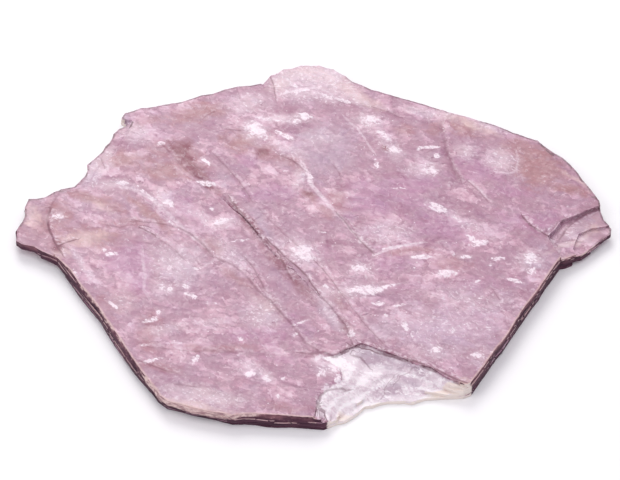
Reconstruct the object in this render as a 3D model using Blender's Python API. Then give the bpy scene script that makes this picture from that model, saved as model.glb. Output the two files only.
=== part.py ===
"""A cleavage plate of lilac mica: a thin six-sided book of sheets, lying on its flat side.

The plate is one closed solid. Its sheets are stacked as an edge that steps in and out, then the places where
sheets have split away are cut down to their own level, the cracks are let in as wedges, and the small flakes
that have lifted are fused on top. X runs along the plate, Y across it and Z through its thickness.
"""

import math
import random

import bmesh
import bpy
from mathutils import Vector, noise

MM = 0.001
SEED = 11

# ---- Driving sizes, in millimetres -------------------------------------------------------------------

SHEET_LEVELS = (0.0, 0.35, 0.72, 1.05, 1.42, 1.78, 2.12, 2.5)
TOP = SHEET_LEVELS[-1]
SHEETS = len(SHEET_LEVELS) - 1
LEANING_SHEETS = 3      # how many of the top sheets lean back where a stretch of the rim has a lean
STEP_RISE = 0.06        # height over which one sheet's edge gives way to the next
OUTSIDE = 6.0           # how far a cutter reaches past the plate
BREAK_SPACING = 1.9     # longest straight run on a broken edge
FACE_SPACING = 4.2      # longest straight run on a crystal face
CUT_SPACING = 1.9       # longest straight run where a sheet has split away
SLOW_WANDER = 3.2       # length over which a sheet's edge drifts in and out
FAST_WANDER = 1.1       # length over which it frays
SETBACK = 0.3           # share of its step by which a sheet's edge stands back on average
SPLIT_WANDER = 0.07     # how far a split edge strays, as a share of each run
CRACK_WANDER = 0.05     # how far a crack strays, as a share of each run
CRACK_CLEARANCE = 0.3   # how far a crack's wedge reaches above the top
FLAKE_HEIGHT = 0.08
FLAKE_ROOT = 0.4
PIT_DEPTH = 0.06
WELD = 0.002            # points closer than this are one

# The rim of the plate, clockwise from above, as (name, roughness, step, lean, points). Roughness is how far
# a broken edge wanders from its straight runs, step how far one sheet stands in front of the next, and lean
# how far the top sheets fall back.
RIM = (
    ("left tip, back", 0.10, 0.22, 0.1,
     [(-40.0, -2.2), (-40.1, -0.2), (-39.1, 2.4), (-38.9, 5.8), (-36.8, 6.2), (-34.6, 7.9),
      (-32.8, 8.4)]),
    ("torn shoulder", 0.12, 0.25, 0.1,
     [(-31.7, 10.3), (-31.4, 12.6), (-29.7, 15.2), (-28.4, 17.6), (-27.4, 19.8), (-26.2, 20.5),
      (-27.2, 21.3), (-26.8, 22.6)]),
    ("back, left", 0.05, 0.2, 0.2,
     [(-24.5, 23.8), (-20.3, 24.8), (-14.4, 26.7), (-11.0, 28.2), (-7.3, 28.8)]),
    ("back lobe", 0.08, 0.25, 0.1,
     [(-6.2, 30.6), (-4.4, 31.9), (-1.9, 32.7), (0.9, 32.9), (2.9, 32.0), (4.8, 30.6)]),
    ("back, right", 0.04, 0.2, 0.2,
     [(8.3, 27.8), (12.0, 26.3), (17.9, 23.6), (23.4, 21.1), (26.9, 19.5), (31.5, 16.9), (34.6, 13.9),
      (37.0, 9.5), (38.3, 6.9)]),
    ("right tip", 0.08, 0.2, 0.1,
     [(38.9, 5.3), (39.0, 3.7), (40.1, 0.7), (40.0, -0.5), (38.0, -2.3), (34.8, -4.7),
      (33.6, -5.4)]),
    ("right crystal face", 0.008, 0.12, 0.1, [(32.8, -5.6), (24.3, -20.5), (23.4, -21.7)]),
    ("front corner", 0.02, 0.15, 0.1, [(19.9, -27.6), (18.9, -28.1)]),
    ("front ledge", 0.09, 0.2, 0.0,
     [(15.9, -28.4), (12.4, -29.1), (8.3, -29.3), (6.4, -29.8), (5.3, -31.0), (3.9, -32.2), (1.9, -32.9)]),
    ("front, left", 0.035, 0.16, 0.5,
     [(1.2, -33.3), (-4.2, -33.0), (-7.4, -32.8), (-10.3, -33.1), (-15.5, -31.9), (-18.6, -30.7),
      (-19.8, -29.6)]),
    ("left crystal face", 0.008, 0.12, 0.5, [(-20.8, -27.9), (-27.6, -16.1), (-28.0, -15.2)]),
    ("left tip, front", 0.06, 0.16, 0.15, [(-34.2, -5.4), (-35.2, -4.8), (-37.5, -3.4), (-39.2, -2.9)]),
)

# The lines that the top splits along, each from its back end to its front end.
CLEFT = [(-27.6, 21.6), (-23.0, 18.6), (-20.5, 15.4), (-17.0, 10.9), (-13.2, 7.2), (-9.9, 2.5),
         (-6.0, -3.9), (-4.3, -6.7), (-2.6, -7.7), (0.1, -11.6), (4.0, -17.3), (5.6, -20.6)]
LONG_CRACK = [(-13.9, 13.9), (-10.3, 8.6), (-6.9, 2.7), (-3.3, -2.1), (0.5, -6.1), (3.1, -11.4),
              (6.4, -17.9), (9.6, -22.2)]
LEFT_STEP = [(-32.0, 10.6), (-27.2, 9.0), (-21.2, 5.3), (-18.3, 1.1), (-14.1, -5.0), (-10.3, -8.3),
             (-6.7, -11.6), (-2.9, -17.4), (-0.5, -21.9), (2.9, -23.0)]
MIDDLE_STEP = [(-12.5, 30.0), (-10.2, 25.0), (-8.0, 19.0), (-4.4, 13.6), (-1.4, 10.1), (1.9, 4.2),
               (4.3, 0.6), (6.9, -4.2), (8.4, -8.5), (9.6, -14.5), (11.2, -19.5), (12.6, -23.8)]
LOBE_STEP = [(-9.0, 29.6), (-5.5, 26.7), (-3.4, 28.2), (-0.5, 28.0), (2.3, 26.7), (3.9, 24.6),
             (8.3, 23.6), (11.9, 21.5), (14.3, 22.6), (18.4, 23.2)]
TIP_STEP = [(33.2, -6.4), (32.0, -3.6), (31.3, -1.6), (33.4, 1.4), (35.9, 2.6), (39.4, 4.3)]
TIP_STEP_OUTER = [(35.2, -5.4), (34.6, -3.4), (35.6, -0.6), (37.4, 0.4), (40.4, 1.2)]
LEFT_TIP_STEP = [(-35.2, 8.6), (-35.5, 4.8), (-35.9, 1.0), (-34.8, -2.6), (-34.4, -5.9)]
SHOULDER_STEP = [(-25.4, 21.2), (-26.3, 18.4), (-27.6, 14.6), (-29.5, 11.9), (-30.9, 9.0),
                 (-33.2, 7.2)]
BACK_RIGHT_STEP = [(30.8, 18.0), (33.0, 14.2), (35.2, 10.2), (37.2, 6.3), (39.0, 5.0)]
FRONT_EDGE = [(20.9, -28.6), (18.2, -27.2), (15.0, -24.9), (11.1, -23.1), (8.1, -21.6), (6.0, -20.7),
              (2.8, -22.5), (0.8, -22.9), (3.3, -24.8), (3.6, -26.9), (1.4, -28.3), (0.2, -30.2),
              (-0.1, -32.9), (0.1, -34.6)]
LEDGE_SECOND = [(21.4, -28.9), (17.4, -27.5), (14.4, -25.8), (11.4, -24.6), (8.6, -22.9), (6.4, -22.9),
                (5.4, -25.4), (4.4, -27.7), (2.2, -29.3), (0.9, -31.4), (0.8, -34.6)]
LEDGE_THIRD = [(21.8, -29.6), (17.8, -28.0), (14.6, -26.9), (11.9, -26.2), (9.6, -24.9), (8.0, -25.9),
               (6.2, -27.6), (3.6, -29.3), (2.0, -31.3), (1.6, -34.6)]
LEDGE_FOURTH = [(22.0, -30.0), (17.6, -28.4), (14.2, -27.7), (11.0, -27.4), (8.6, -27.4), (6.6, -28.7),
                (4.6, -30.2), (2.9, -31.9), (2.4, -34.6)]

# Where sheets have split off the top: (name, line, far corners, level). The line is where they broke, the
# far corners lie outside the plate and close the line round what is missing, and the level is the height
# that is left.
SPLIT_OFF = (
    ("middle step", MIDDLE_STEP, [(12.6, -40.0), (-46.0, -40.0), (-46.0, 36.0), (-12.5, 36.0)], 2.44),
    ("cleft step", CLEFT, [(5.6, -40.0), (-46.0, -40.0), (-46.0, 21.6)], 2.36),
    ("left step", LEFT_STEP, [(2.9, -40.0), (-46.0, -40.0), (-46.0, 10.6)], 2.26),
    ("left tip step", LEFT_TIP_STEP, [(-34.4, -12.0), (-46.0, -12.0), (-46.0, 12.0), (-35.2, 12.0)], 2.12),
    ("shoulder step", SHOULDER_STEP, [(-46.0, 7.2), (-46.0, 21.2)], 1.9),
    ("lobe step", LOBE_STEP, [(18.4, 38.0), (-9.0, 38.0)], 2.3),
    ("back right step", BACK_RIGHT_STEP, [(46.0, 5.0), (46.0, 18.0)], 2.2),
    ("right tip step", TIP_STEP, [(46.0, 4.3), (46.0, -12.0), (33.2, -12.0)], 1.9),
    ("right tip outer step", TIP_STEP_OUTER, [(46.0, 1.2), (46.0, -12.0), (35.2, -12.0)], 1.55),
    ("front ledge", FRONT_EDGE, [(0.1, -40.0), (26.0, -40.0), (26.0, -28.6)], 1.95),
    ("front ledge, second", LEDGE_SECOND, [(0.8, -40.0), (26.0, -40.0), (26.0, -28.9)], 1.5),
    ("front ledge, third", LEDGE_THIRD, [(1.6, -40.0), (26.0, -40.0), (26.0, -29.6)], 1.0),
    ("front ledge, fourth", LEDGE_FOURTH, [(2.4, -40.0), (26.0, -40.0), (26.0, -30.0)], 0.5),
)

# Where sheets have split off the underside: the same, with the height that the gap reaches up to.
SPLIT_BELOW = (
    ("under left tip", [(-32.9, -9.0), (-33.6, -2.0), (-32.4, 4.0), (-33.0, 9.5)],
     [(-46.0, 9.5), (-46.0, -9.0)], 0.55),
    ("under left tip, outer", [(-35.6, -8.0), (-36.8, -1.5), (-36.0, 3.0), (-36.9, 9.5)],
     [(-46.0, 9.5), (-46.0, -8.0)], 1.15),
    ("under right tip", [(34.2, -9.0), (35.0, -2.5), (34.6, 2.5), (36.4, 8.0)],
     [(46.0, 8.0), (46.0, -9.0)], 0.5),
    ("under right tip, outer", [(36.6, -8.0), (37.3, -1.8), (38.4, 5.5)],
     [(46.0, 5.5), (46.0, -8.0)], 0.92),
    ("under back lobe", [(-8.0, 29.0), (-4.0, 29.5), (0.0, 28.2), (4.6, 29.4), (7.0, 31.0)],
     [(7.0, 38.0), (-8.0, 38.0)], 0.6),
    ("under shoulder", [(-24.6, 24.8), (-25.2, 20.4), (-26.2, 16.2), (-29.0, 12.0), (-30.0, 8.8)],
     [(-46.0, 8.8), (-46.0, 24.8)], 0.5),
    ("under notch", [(-25.1, 25.4), (-25.3, 22.8), (-25.2, 20.2), (-26.6, 18.9)],
     [(-46.0, 18.9), (-46.0, 25.4)], 1.3),
)

# Cracks let into the top: (name, line, width, depth).
CRACKS = (
    ("cleft", CLEFT[4:8], 0.3, 0.28),
    ("long crack", LONG_CRACK, 0.12, 0.12),
    ("cleft branch", [(-11.3, -5.1), (-9.4, -5.7), (-8.0, -7.9), (-6.2, -12.1)], 0.13, 0.12),
    ("left crack", [(-23.4, 0.0), (-22.3, -0.7), (-21.2, -1.5)], 0.13, 0.12),
    ("left tip crack", [(-34.0, -3.4), (-32.4, -2.2), (-31.1, -1.4)], 0.12, 0.12),
    ("right crack", [(17.8, 21.0), (18.5, 14.6), (19.6, 9.0), (22.1, 6.5), (23.8, 4.6)], 0.14, 0.14),
    ("right tip crack", [(28.1, 1.9), (30.0, -0.7), (31.2, -1.5)], 0.12, 0.12),
    ("lobe crack", [(-6.1, 30.2), (-5.7, 29.0), (-5.3, 26.6)], 0.14, 0.14),
    ("lower left crack", [(-22.0, -23.8), (-19.9, -25.3), (-17.8, -26.2), (-14.4, -26.7)], 0.13, 0.12),
)

# Flakes that have lifted: (x, y, length, width, turn in degrees).
FLAKES = (
    (16.7, 3.6, 3.4, 1.6, -31), (19.6, 1.4, 1.7, 1.0, -55), (28.7, -5.5, 2.4, 2.1, 74),
    (28.8, -8.1, 1.6, 1.2, 82), (17.7, -8.5, 3.2, 1.4, 5), (20.4, -5.5, 2.1, 1.1, 1),
    (24.5, -5.9, 1.7, 1.1, 2), (14.1, -5.5, 2.7, 1.1, 0), (22.2, -3.0, 2.7, 1.6, 15),
    (6.7, -11.7, 5.3, 2.0, 3), (-1.4, -4.6, 3.9, 2.8, -50), (8.1, 21.5, 3.4, 1.8, 0),
    (9.8, 17.6, 2.7, 1.4, -48), (11.3, 15.0, 1.8, 1.7, 80), (-7.9, 19.0, 4.1, 2.7, -58),
    (-1.2, 21.9, 2.8, 1.6, 0), (-14.7, 8.5, 2.8, 1.3, -16), (-14.9, 12.8, 1.8, 0.8, -50),
    (-19.8, 4.8, 2.4, 1.7, -43), (-12.4, 1.2, 2.7, 1.5, 19), (-34.5, 2.3, 1.8, 1.7, -33),
    (-27.0, -4.8, 1.7, 1.1, -2), (-26.2, -14.0, 2.3, 0.9, -42), (-21.1, -16.6, 2.2, 1.0, 22),
    (-16.1, -12.2, 1.9, 1.1, -40), (-8.1, -25.9, 1.5, 1.2, 19), (-5.9, -26.5, 1.5, 1.3, -2),
    (15.8, -22.0, 1.5, 1.3, 83), (4.9, -19.2, 1.7, 1.0, 89), (26.2, 13.0, 4.8, 4.1, -87),
    (21.4, 14.4, 3.6, 2.8, 4), (-21.2, 16.4, 1.4, 1.0, -3),
)
RAISED_FLAKE = [(4.4, 1.7), (6.4, -2.0), (7.7, -4.6), (9.4, -3.9), (11.5, -3.4), (14.7, -3.3), (15.3, -1.6),
                (13.5, 0.4), (10.6, 1.7), (7.9, 2.6)]
PITS = (
    (-4.7, 23.9, 5.7, 3.3, 0), (-3.4, 19.4, 6.7, 2.2, 0), (-0.4, 5.9, 3.4, 1.7, -45),
    (-7.0, 15.2, 3.6, 3.1, -87), (2.8, -3.0, 3.2, 1.9, 0), (-11.0, 17.6, 3.4, 3.2, -15),
    (-21.1, 2.9, 6.7, 1.8, -45), (19.8, 4.2, 6.5, 1.8, -29),
)

# ---- Look of the plain solid -------------------------------------------------------------------------

MICA_COLOUR = "#CBA4B8"
MICA_ROUGHNESS = 0.35
MICA_METALLIC = 0.0


# ---- Lines and outlines ------------------------------------------------------------------------------

def broken_run(start, end, spacing, roughness, chance):
    """Points from start up to, not including, end, with each midpoint pushed aside as a fracture wanders."""
    length = math.dist(start, end)
    if length <= spacing:
        return [start]
    push = chance.uniform(-roughness, roughness) * length
    across = ((start[1] - end[1]) / length, (end[0] - start[0]) / length)
    middle = ((start[0] + end[0]) / 2 + across[0] * push, (start[1] + end[1]) / 2 + across[1] * push)
    first_half = broken_run(start, middle, spacing, roughness, chance)
    return first_half + broken_run(middle, end, spacing, roughness, chance)


def broken_line(points, spacing, roughness, chance):
    """The whole line through points, broken finer than spacing."""
    line = []
    for start, end in zip(points, points[1:]):
        line += broken_run(start, end, spacing, roughness, chance)
    return line + [points[-1]]


def inside(x, y, outline):
    """Whether a point lies inside a closed outline."""
    crossings = 0
    for (ax, ay), (bx, by) in zip(outline, outline[1:] + outline[:1]):
        if (ay > y) != (by > y) and x < ax + (y - ay) * (bx - ax) / (by - ay):
            crossings += 1
    return crossings % 2 == 1


def top_level(x, y, missing):
    """Height of the plate's top at a point, given the outlines and levels of the sheets that are missing."""
    return min([level for outline, level in missing if inside(x, y, outline)] + [TOP])


def ragged_patch(x, y, length, width, turn, chance, corners=9):
    """Outline of a flake: a long lens shape with uneven corners, turned to lie along its grain."""
    cosine, sine = math.cos(math.radians(turn)), math.sin(math.radians(turn))
    outline = []
    for corner in range(corners):
        angle = math.tau * (corner + chance.uniform(-0.28, 0.28)) / corners
        reach = chance.uniform(0.72, 1.12)
        along, across = math.cos(angle) * length / 2 * reach, math.sin(angle) * width / 2 * reach
        outline.append((x + along * cosine - across * sine, y + along * sine + across * cosine))
    return outline


# ---- Solids ------------------------------------------------------------------------------------------

def new_object(name, bm):
    """An object that holds the mesh that was built, its twisted four-sided faces split in two."""
    bmesh.ops.triangulate(bm, faces=[face for face in bm.faces if len(face.verts) == 4])
    bmesh.ops.recalc_face_normals(bm, faces=bm.faces)
    mesh = bpy.data.meshes.new(name)
    bm.to_mesh(mesh)
    bm.free()
    made = bpy.data.objects.new(name, mesh)
    bpy.context.scene.collection.objects.link(made)
    return made


def flat_face(bm, outline, level):
    """One face with the given outline at one height."""
    return bm.faces.new([bm.verts.new((x * MM, y * MM, level * MM)) for x, y in outline])


def extruded(bm, face):
    """The face that extruding this one makes, still in the same place."""
    made = bmesh.ops.extrude_face_region(bm, geom=[face])["geom"]
    return next(item for item in made if isinstance(item, bmesh.types.BMFace))


def add_prism(bm, outline, low, high):
    """A closed prism between two heights."""
    top = extruded(bm, flat_face(bm, outline, low))
    bmesh.ops.translate(bm, verts=top.verts, vec=(0, 0, (high - low) * MM))


def as_cutter(cutter):
    """Mark an object as a shape that only cuts or joins."""
    cutter.hide_render = True
    cutter.display_type = "WIRE"
    return cutter


def combine(body, other, operation):
    """Cut another shape out of the body, or join it on."""
    modifier = body.modifiers.new(other.name, "BOOLEAN")
    modifier.operation = operation
    modifier.solver = "EXACT"
    modifier.object = other


# ---- The book of sheets ------------------------------------------------------------------------------

def rim_points(chance):
    """The rim, counter-clockwise from above, as (x, y, step, lean) for each point."""
    starts = [stretch[-1][0] for stretch in RIM]
    rim = []
    for (_, roughness, step, lean, points), next_start in zip(RIM, starts[1:] + starts[:1]):
        spacing = FACE_SPACING if roughness < 0.01 else BREAK_SPACING
        line = broken_line(points + [next_start], spacing, roughness, chance)
        rim += [(x, y, step, lean) for x, y in line[:-1]]
    return rim[::-1]


def outward(rim, index):
    """Direction out of the plate at one rim point: of length 1 on a straight run, shorter at a corner."""
    before, here, after = (Vector(rim[place % len(rim)][:2]) for place in (index - 1, index, index + 1))
    arriving, leaving = (here - before).normalized(), (after - here).normalized()
    along = (arriving + leaving).normalized() * max(0.0, arriving.dot(leaving))
    return Vector((along.y, -along.x))


def sheet_edge(rim, sheet, at_top):
    """Outline of one sheet: the rim, moved in and out along its run, and leaning in near the top."""
    upper_sheets = max(0, sheet + at_top - SHEETS + LEANING_SHEETS)
    edge = []
    for index, (x, y, step, lean) in enumerate(rim):
        drift = noise.noise(Vector((x / SLOW_WANDER, y / SLOW_WANDER, sheet + 0.5)))
        fray = noise.noise(Vector((x / FAST_WANDER, y / FAST_WANDER, sheet - 0.5)))
        stand_out = step * (drift + fray / 2 - SETBACK)
        move = outward(rim, index) * (stand_out - lean * upper_sheets / LEANING_SHEETS)
        edge.append((x + move.x, y + move.y))
    return edge


def book_of_sheets(chance):
    """The plate before anything splits off it: each sheet is a wall, with a small step up to the next."""
    rim = rim_points(chance)
    bm = bmesh.new()
    underside = flat_face(bm, sheet_edge(rim, 0, False), SHEET_LEVELS[0])
    cap = underside
    for sheet, level in enumerate(SHEET_LEVELS[1:]):
        for at_top in (False, True):
            if sheet == 0 and not at_top:
                continue
            buried = [cap] if cap is not underside else []
            cap = extruded(bm, cap)
            bmesh.ops.delete(bm, geom=buried, context="FACES_ONLY")
            height = level if at_top else SHEET_LEVELS[sheet] + STEP_RISE
            for corner, (x, y) in zip(cap.verts, sheet_edge(rim, sheet, at_top)):
                corner.co = (x * MM, y * MM, height * MM)
    return new_object("mica_crystal", bm)


# ---- What has split off, cracked and lifted ----------------------------------------------------------

def missing_sheets(chance):
    """Outline and level of each place where sheets have split off the top."""
    found = []
    for name, line, far_side, level in SPLIT_OFF:
        found.append((name, broken_line(line, CUT_SPACING, SPLIT_WANDER, chance) + far_side, level))
    return found


def crack_cutter(name, line, width, depth, missing, chance):
    """A wedge along a crack, open at the top, that closes to a point at both ends."""
    spread = (depth + CRACK_CLEARANCE) / depth
    path = broken_line(line, CUT_SPACING, CRACK_WANDER, chance)
    bm = bmesh.new()
    sections = []
    for before, here, after in zip(path, path[1:], path[2:]):
        along = Vector((after[0] - before[0], after[1] - before[1])).normalized()
        across = Vector((-along.y, along.x)) * width / 2 * spread
        level = top_level(here[0], here[1], missing)
        left = Vector(here) + across * chance.uniform(0.55, 1.2)
        right = Vector(here) - across * chance.uniform(0.55, 1.2)
        bottom = Vector(here) + across * chance.uniform(-0.25, 0.25)
        above = level + CRACK_CLEARANCE
        heights = (above, above, level - depth * chance.uniform(0.8, 1.1))
        corners = zip((left, right, bottom), heights)
        sections.append([bm.verts.new((spot.x * MM, spot.y * MM, height * MM)) for spot, height in corners])
    for near, far in zip(sections, sections[1:]):
        for side in range(3):
            next_side = (side + 1) % 3
            bm.faces.new((near[side], near[next_side], far[next_side], far[side]))
    for end, section in ((path[0], sections[0]), (path[-1], sections[-1])):
        level = top_level(end[0], end[1], missing) + CRACK_CLEARANCE
        tip = bm.verts.new((end[0] * MM, end[1] * MM, level * MM))
        for side in range(3):
            bm.faces.new((section[side], section[(side + 1) % 3], tip))
    return as_cutter(new_object(name, bm))


def sheet_cutter(name, outline, low, high):
    """A prism that takes away everything inside an outline between two heights."""
    bm = bmesh.new()
    add_prism(bm, outline, low, high)
    return as_cutter(new_object(name, bm))


def lifted_flakes(missing, chance):
    """All the lifted flakes, each rooted in the plate and standing a little above it."""
    bm = bmesh.new()
    patches = [ragged_patch(*flake, chance) for flake in FLAKES]
    patches.append(broken_line(RAISED_FLAKE, CUT_SPACING, SPLIT_WANDER, chance))
    for patch in patches:
        levels = [top_level(x, y, missing) for x, y in patch]
        flake_top = max(levels) + FLAKE_HEIGHT * chance.uniform(0.75, 1.2)
        add_prism(bm, patch, min(levels) - FLAKE_ROOT, flake_top)
    return as_cutter(new_object("lifted flakes", bm))


def shallow_pits(missing, chance):
    """All the pits where a small flake has come away."""
    bm = bmesh.new()
    for pit in PITS:
        patch = ragged_patch(*pit, chance)
        level = min(top_level(x, y, missing) for x, y in patch)
        add_prism(bm, patch, level - PIT_DEPTH * chance.uniform(0.8, 1.2), TOP + OUTSIDE)
    return as_cutter(new_object("shallow pits", bm))


def mica_material():
    """Plain lilac-pink mica."""
    red, green, blue = (int(MICA_COLOUR[place:place + 2], 16) / 255 for place in (1, 3, 5))
    material = bpy.data.materials.new("lilac mica")
    material.use_nodes = True
    surface = material.node_tree.nodes["Principled BSDF"]
    surface.inputs["Base Color"].default_value = (red ** 2.2, green ** 2.2, blue ** 2.2, 1.0)
    surface.inputs["Roughness"].default_value = MICA_ROUGHNESS
    surface.inputs["Metallic"].default_value = MICA_METALLIC
    return material


def centre_on_origin(body):
    """Keep the finished shape as plain mesh, with the middle of its underside at the origin."""
    shape = body.evaluated_get(bpy.context.evaluated_depsgraph_get())
    body.data = bpy.data.meshes.new_from_object(shape)
    body.modifiers.clear()
    corners = [corner.co for corner in body.data.vertices]
    lows = [min(corner[axis] for corner in corners) for axis in range(3)]
    highs = [max(corner[axis] for corner in corners) for axis in range(3)]
    shift = Vector((-(lows[0] + highs[0]) / 2, -(lows[1] + highs[1]) / 2, -lows[2]))
    for corner in body.data.vertices:
        corner.co += shift


def build():
    """Model the plate."""
    for leftover in list(bpy.data.objects):
        bpy.data.objects.remove(leftover)
    chance = random.Random(SEED)
    crystal = book_of_sheets(chance)
    split = missing_sheets(chance)
    missing = [(outline, level) for _, outline, level in split]
    for name, outline, level in split:
        combine(crystal, sheet_cutter(name, outline, level, TOP + OUTSIDE), "DIFFERENCE")
    for name, line, far_side, level in SPLIT_BELOW:
        outline = broken_line(line, CUT_SPACING, SPLIT_WANDER, chance) + far_side
        combine(crystal, sheet_cutter(name, outline, -OUTSIDE, level), "DIFFERENCE")
    combine(crystal, lifted_flakes(missing, chance), "UNION")
    combine(crystal, shallow_pits(missing, chance), "DIFFERENCE")
    for name, line, width, depth in CRACKS:
        combine(crystal, crack_cutter(name, line, width, depth, missing, chance), "DIFFERENCE")
    weld = crystal.modifiers.new("weld", "WELD")
    weld.merge_threshold = WELD * MM
    centre_on_origin(crystal)
    crystal.data.materials.clear()
    crystal.data.materials.append(mica_material())


build()
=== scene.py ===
# %% [markdown]
# # A plate of lilac mica
#
# Mica grows as a book of sheets, each far thinner than a hair, and it splits along them. This specimen is
# one such plate: flat, cloudy and a little translucent, with a pearly top covered in small split and lifted
# flakes, and a dark layered edge where the eye looks into the book from the side.
#
# The solid model already has the right outline, thickness, ledges and cracks. This notebook gives it the
# fine surface: first the camera and the light, then a denser copy of the plate with its small relief, and
# last the two finishes, one for the split faces and one for the edge of the book.

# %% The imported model
import math

import bpy
import numpy as np
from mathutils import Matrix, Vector, kdtree, noise


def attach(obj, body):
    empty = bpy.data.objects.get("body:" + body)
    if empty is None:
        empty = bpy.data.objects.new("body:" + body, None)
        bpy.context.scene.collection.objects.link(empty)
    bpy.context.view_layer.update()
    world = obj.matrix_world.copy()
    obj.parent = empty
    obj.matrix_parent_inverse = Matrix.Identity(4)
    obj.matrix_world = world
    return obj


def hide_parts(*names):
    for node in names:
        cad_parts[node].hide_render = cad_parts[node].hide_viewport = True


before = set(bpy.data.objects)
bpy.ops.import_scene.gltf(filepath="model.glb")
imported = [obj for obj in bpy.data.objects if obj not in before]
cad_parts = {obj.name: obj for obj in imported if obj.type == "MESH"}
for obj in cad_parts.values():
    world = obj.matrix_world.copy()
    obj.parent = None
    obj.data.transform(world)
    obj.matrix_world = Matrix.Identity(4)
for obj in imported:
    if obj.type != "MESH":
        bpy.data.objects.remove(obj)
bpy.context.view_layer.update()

MM = 0.001
cad_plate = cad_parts["mica_crystal"]

# %% [markdown]
# ## Camera
#
# A specimen this flat is best seen from above and in front, with a long lens from a little way off, so that
# its straight crystal edges stay straight. The camera is placed by the point it looks at, how high it looks
# down from and how far away it stands, because those are the three things a photographer sets.

# %% Camera
LOOKS_AT = Vector((-0.48, -1.17, 1.3)) * MM
LOOKS_DOWN = math.radians(46)
STANDS_OFF = 324 * MM
LENS = 140

away = Vector((0, -math.cos(LOOKS_DOWN), math.sin(LOOKS_DOWN)))
bpy.ops.object.camera_add(location=LOOKS_AT + away * STANDS_OFF, rotation=(math.pi / 2 - LOOKS_DOWN, 0, 0))
camera = bpy.context.object
camera.data.lens = LENS
camera.data.clip_start = 10 * MM
bpy.context.scene.camera = camera
print("camera at", [round(value / MM) for value in camera.location], "mm")

# %% [markdown]
# ## Table and light
#
# The plate lies on a white table under soft light from all round, so the only shadow is a soft one close
# under the front edges. A wide lamp behind lays a low sheen over the top, which makes the small flakes stand
# out, and two weaker ones, from the left and from above, keep the front edge readable.

# %% Table and light
TABLE_SIZE = 3.0
TABLE_GAP = 0.02 * MM
TABLE_WHITE = 0.94
SKY_COLOUR = (0.955, 0.915, 1.0, 1.0)
SKY_STRENGTH = 0.67
LAMPS = (
    # name, place and size in metres, power in watts, colour
    ("lamp behind", (-0.10, 0.52, 0.50), 0.40, 2.5, (1.0, 0.99, 0.96)),
    ("lamp left", (-0.55, -0.20, 0.55), 0.40, 0.8, (1.0, 0.99, 0.97)),
    ("lamp above", (0.15, -0.10, 0.80), 0.50, 1.1, (1.0, 1.0, 1.0)),
)

bpy.ops.mesh.primitive_plane_add(size=TABLE_SIZE, location=(0, 0, -TABLE_GAP))
table = bpy.context.object
table.name = "table"

for name, place, size, power, colour in LAMPS:
    bpy.ops.object.light_add(type="AREA", location=place)
    lamp = bpy.context.object
    lamp.name = name
    lamp.rotation_euler = (-Vector(place)).to_track_quat("-Z", "Y").to_euler()
    lamp.data.size = size
    lamp.data.energy = power
    lamp.data.color = colour

sky = bpy.data.worlds.new("soft room")
sky.use_nodes = True
sky.node_tree.nodes["Background"].inputs["Color"].default_value = SKY_COLOUR
sky.node_tree.nodes["Background"].inputs["Strength"].default_value = SKY_STRENGTH
bpy.context.scene.world = sky
bpy.context.scene.view_settings.view_transform = "Standard"

# %% [markdown]
# ## A denser plate
#
# The solid has a few thousand faces, too few for the fine relief of a split surface. Its own mesh is left
# alone. A copy is merged, then every edge that is too long is cut in half, over and over. Unlike remeshing,
# that keeps each crisp corner of the solid where it was. The underside lies on the table and stays coarse.

# %% Copy and merge
MERGE_REACH = 0.002 * MM
FLAT_ANGLE = math.radians(0.2)


def select_only(piece):
    """Make one piece the only selected object."""
    bpy.ops.object.select_all(action="DESELECT")
    piece.select_set(True)
    bpy.context.view_layer.objects.active = piece


plate = bpy.data.objects.new("mica_plate", cad_plate.data.copy())
bpy.context.scene.collection.objects.link(plate)
select_only(plate)
bpy.ops.object.mode_set(mode="EDIT")
bpy.ops.mesh.select_all(action="SELECT")
bpy.ops.mesh.customdata_custom_splitnormals_clear()
bpy.ops.mesh.remove_doubles(threshold=MERGE_REACH)
bpy.ops.mesh.dissolve_limited(angle_limit=FLAT_ANGLE)
bpy.ops.mesh.quads_convert_to_tris(quad_method="BEAUTY", ngon_method="BEAUTY")
bpy.ops.object.mode_set(mode="OBJECT")
print("merged copy:", len(plate.data.vertices), "points,", len(plate.data.polygons), "faces")


# %% Cut the long edges
LONGEST_TOP = 0.56 * MM
LONGEST_SIDE = 0.42 * MM
LONGEST_UNDER = 1.6 * MM
FACES_DOWN = -0.9
FACES_OUT = 0.6
CUTS = 7


def read(items, name, width=1, kind=float):
    """One value, or a row of them, for every item of a mesh."""
    values = np.empty(len(items) * width, dtype=kind)
    items.foreach_get(name, values)
    return values.reshape(-1, width) if width > 1 else values


def select_items(chosen_kind, chosen):
    """Select the chosen points or edges of the plate and nothing else."""
    mesh = plate.data
    for kind, items in (("points", mesh.vertices), ("edges", mesh.edges), ("faces", mesh.polygons)):
        items.foreach_set("select", chosen if kind == chosen_kind else np.zeros(len(items), bool))
    mesh_select_mode = (chosen_kind == "points", chosen_kind == "edges", False)
    bpy.context.scene.tool_settings.mesh_select_mode = mesh_select_mode


def too_long(mesh):
    """Which edges are still too long: each kind of face has its own limit, and the finer one wins."""
    points = read(mesh.vertices, "co", 3)
    ends = read(mesh.edges, "vertices", 2, int)
    length = np.linalg.norm(points[ends[:, 0]] - points[ends[:, 1]], axis=1)
    face_edges = read(mesh.loops, "edge_index", 1, int).reshape(-1, 3)
    upward = read(mesh.polygons, "normal", 3)[:, 2]
    limit = np.full(len(length), LONGEST_UNDER)
    limit[face_edges[upward > FACES_DOWN].ravel()] = LONGEST_TOP
    limit[face_edges[np.abs(upward) < FACES_OUT].ravel()] = LONGEST_SIDE
    return length > limit


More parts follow.
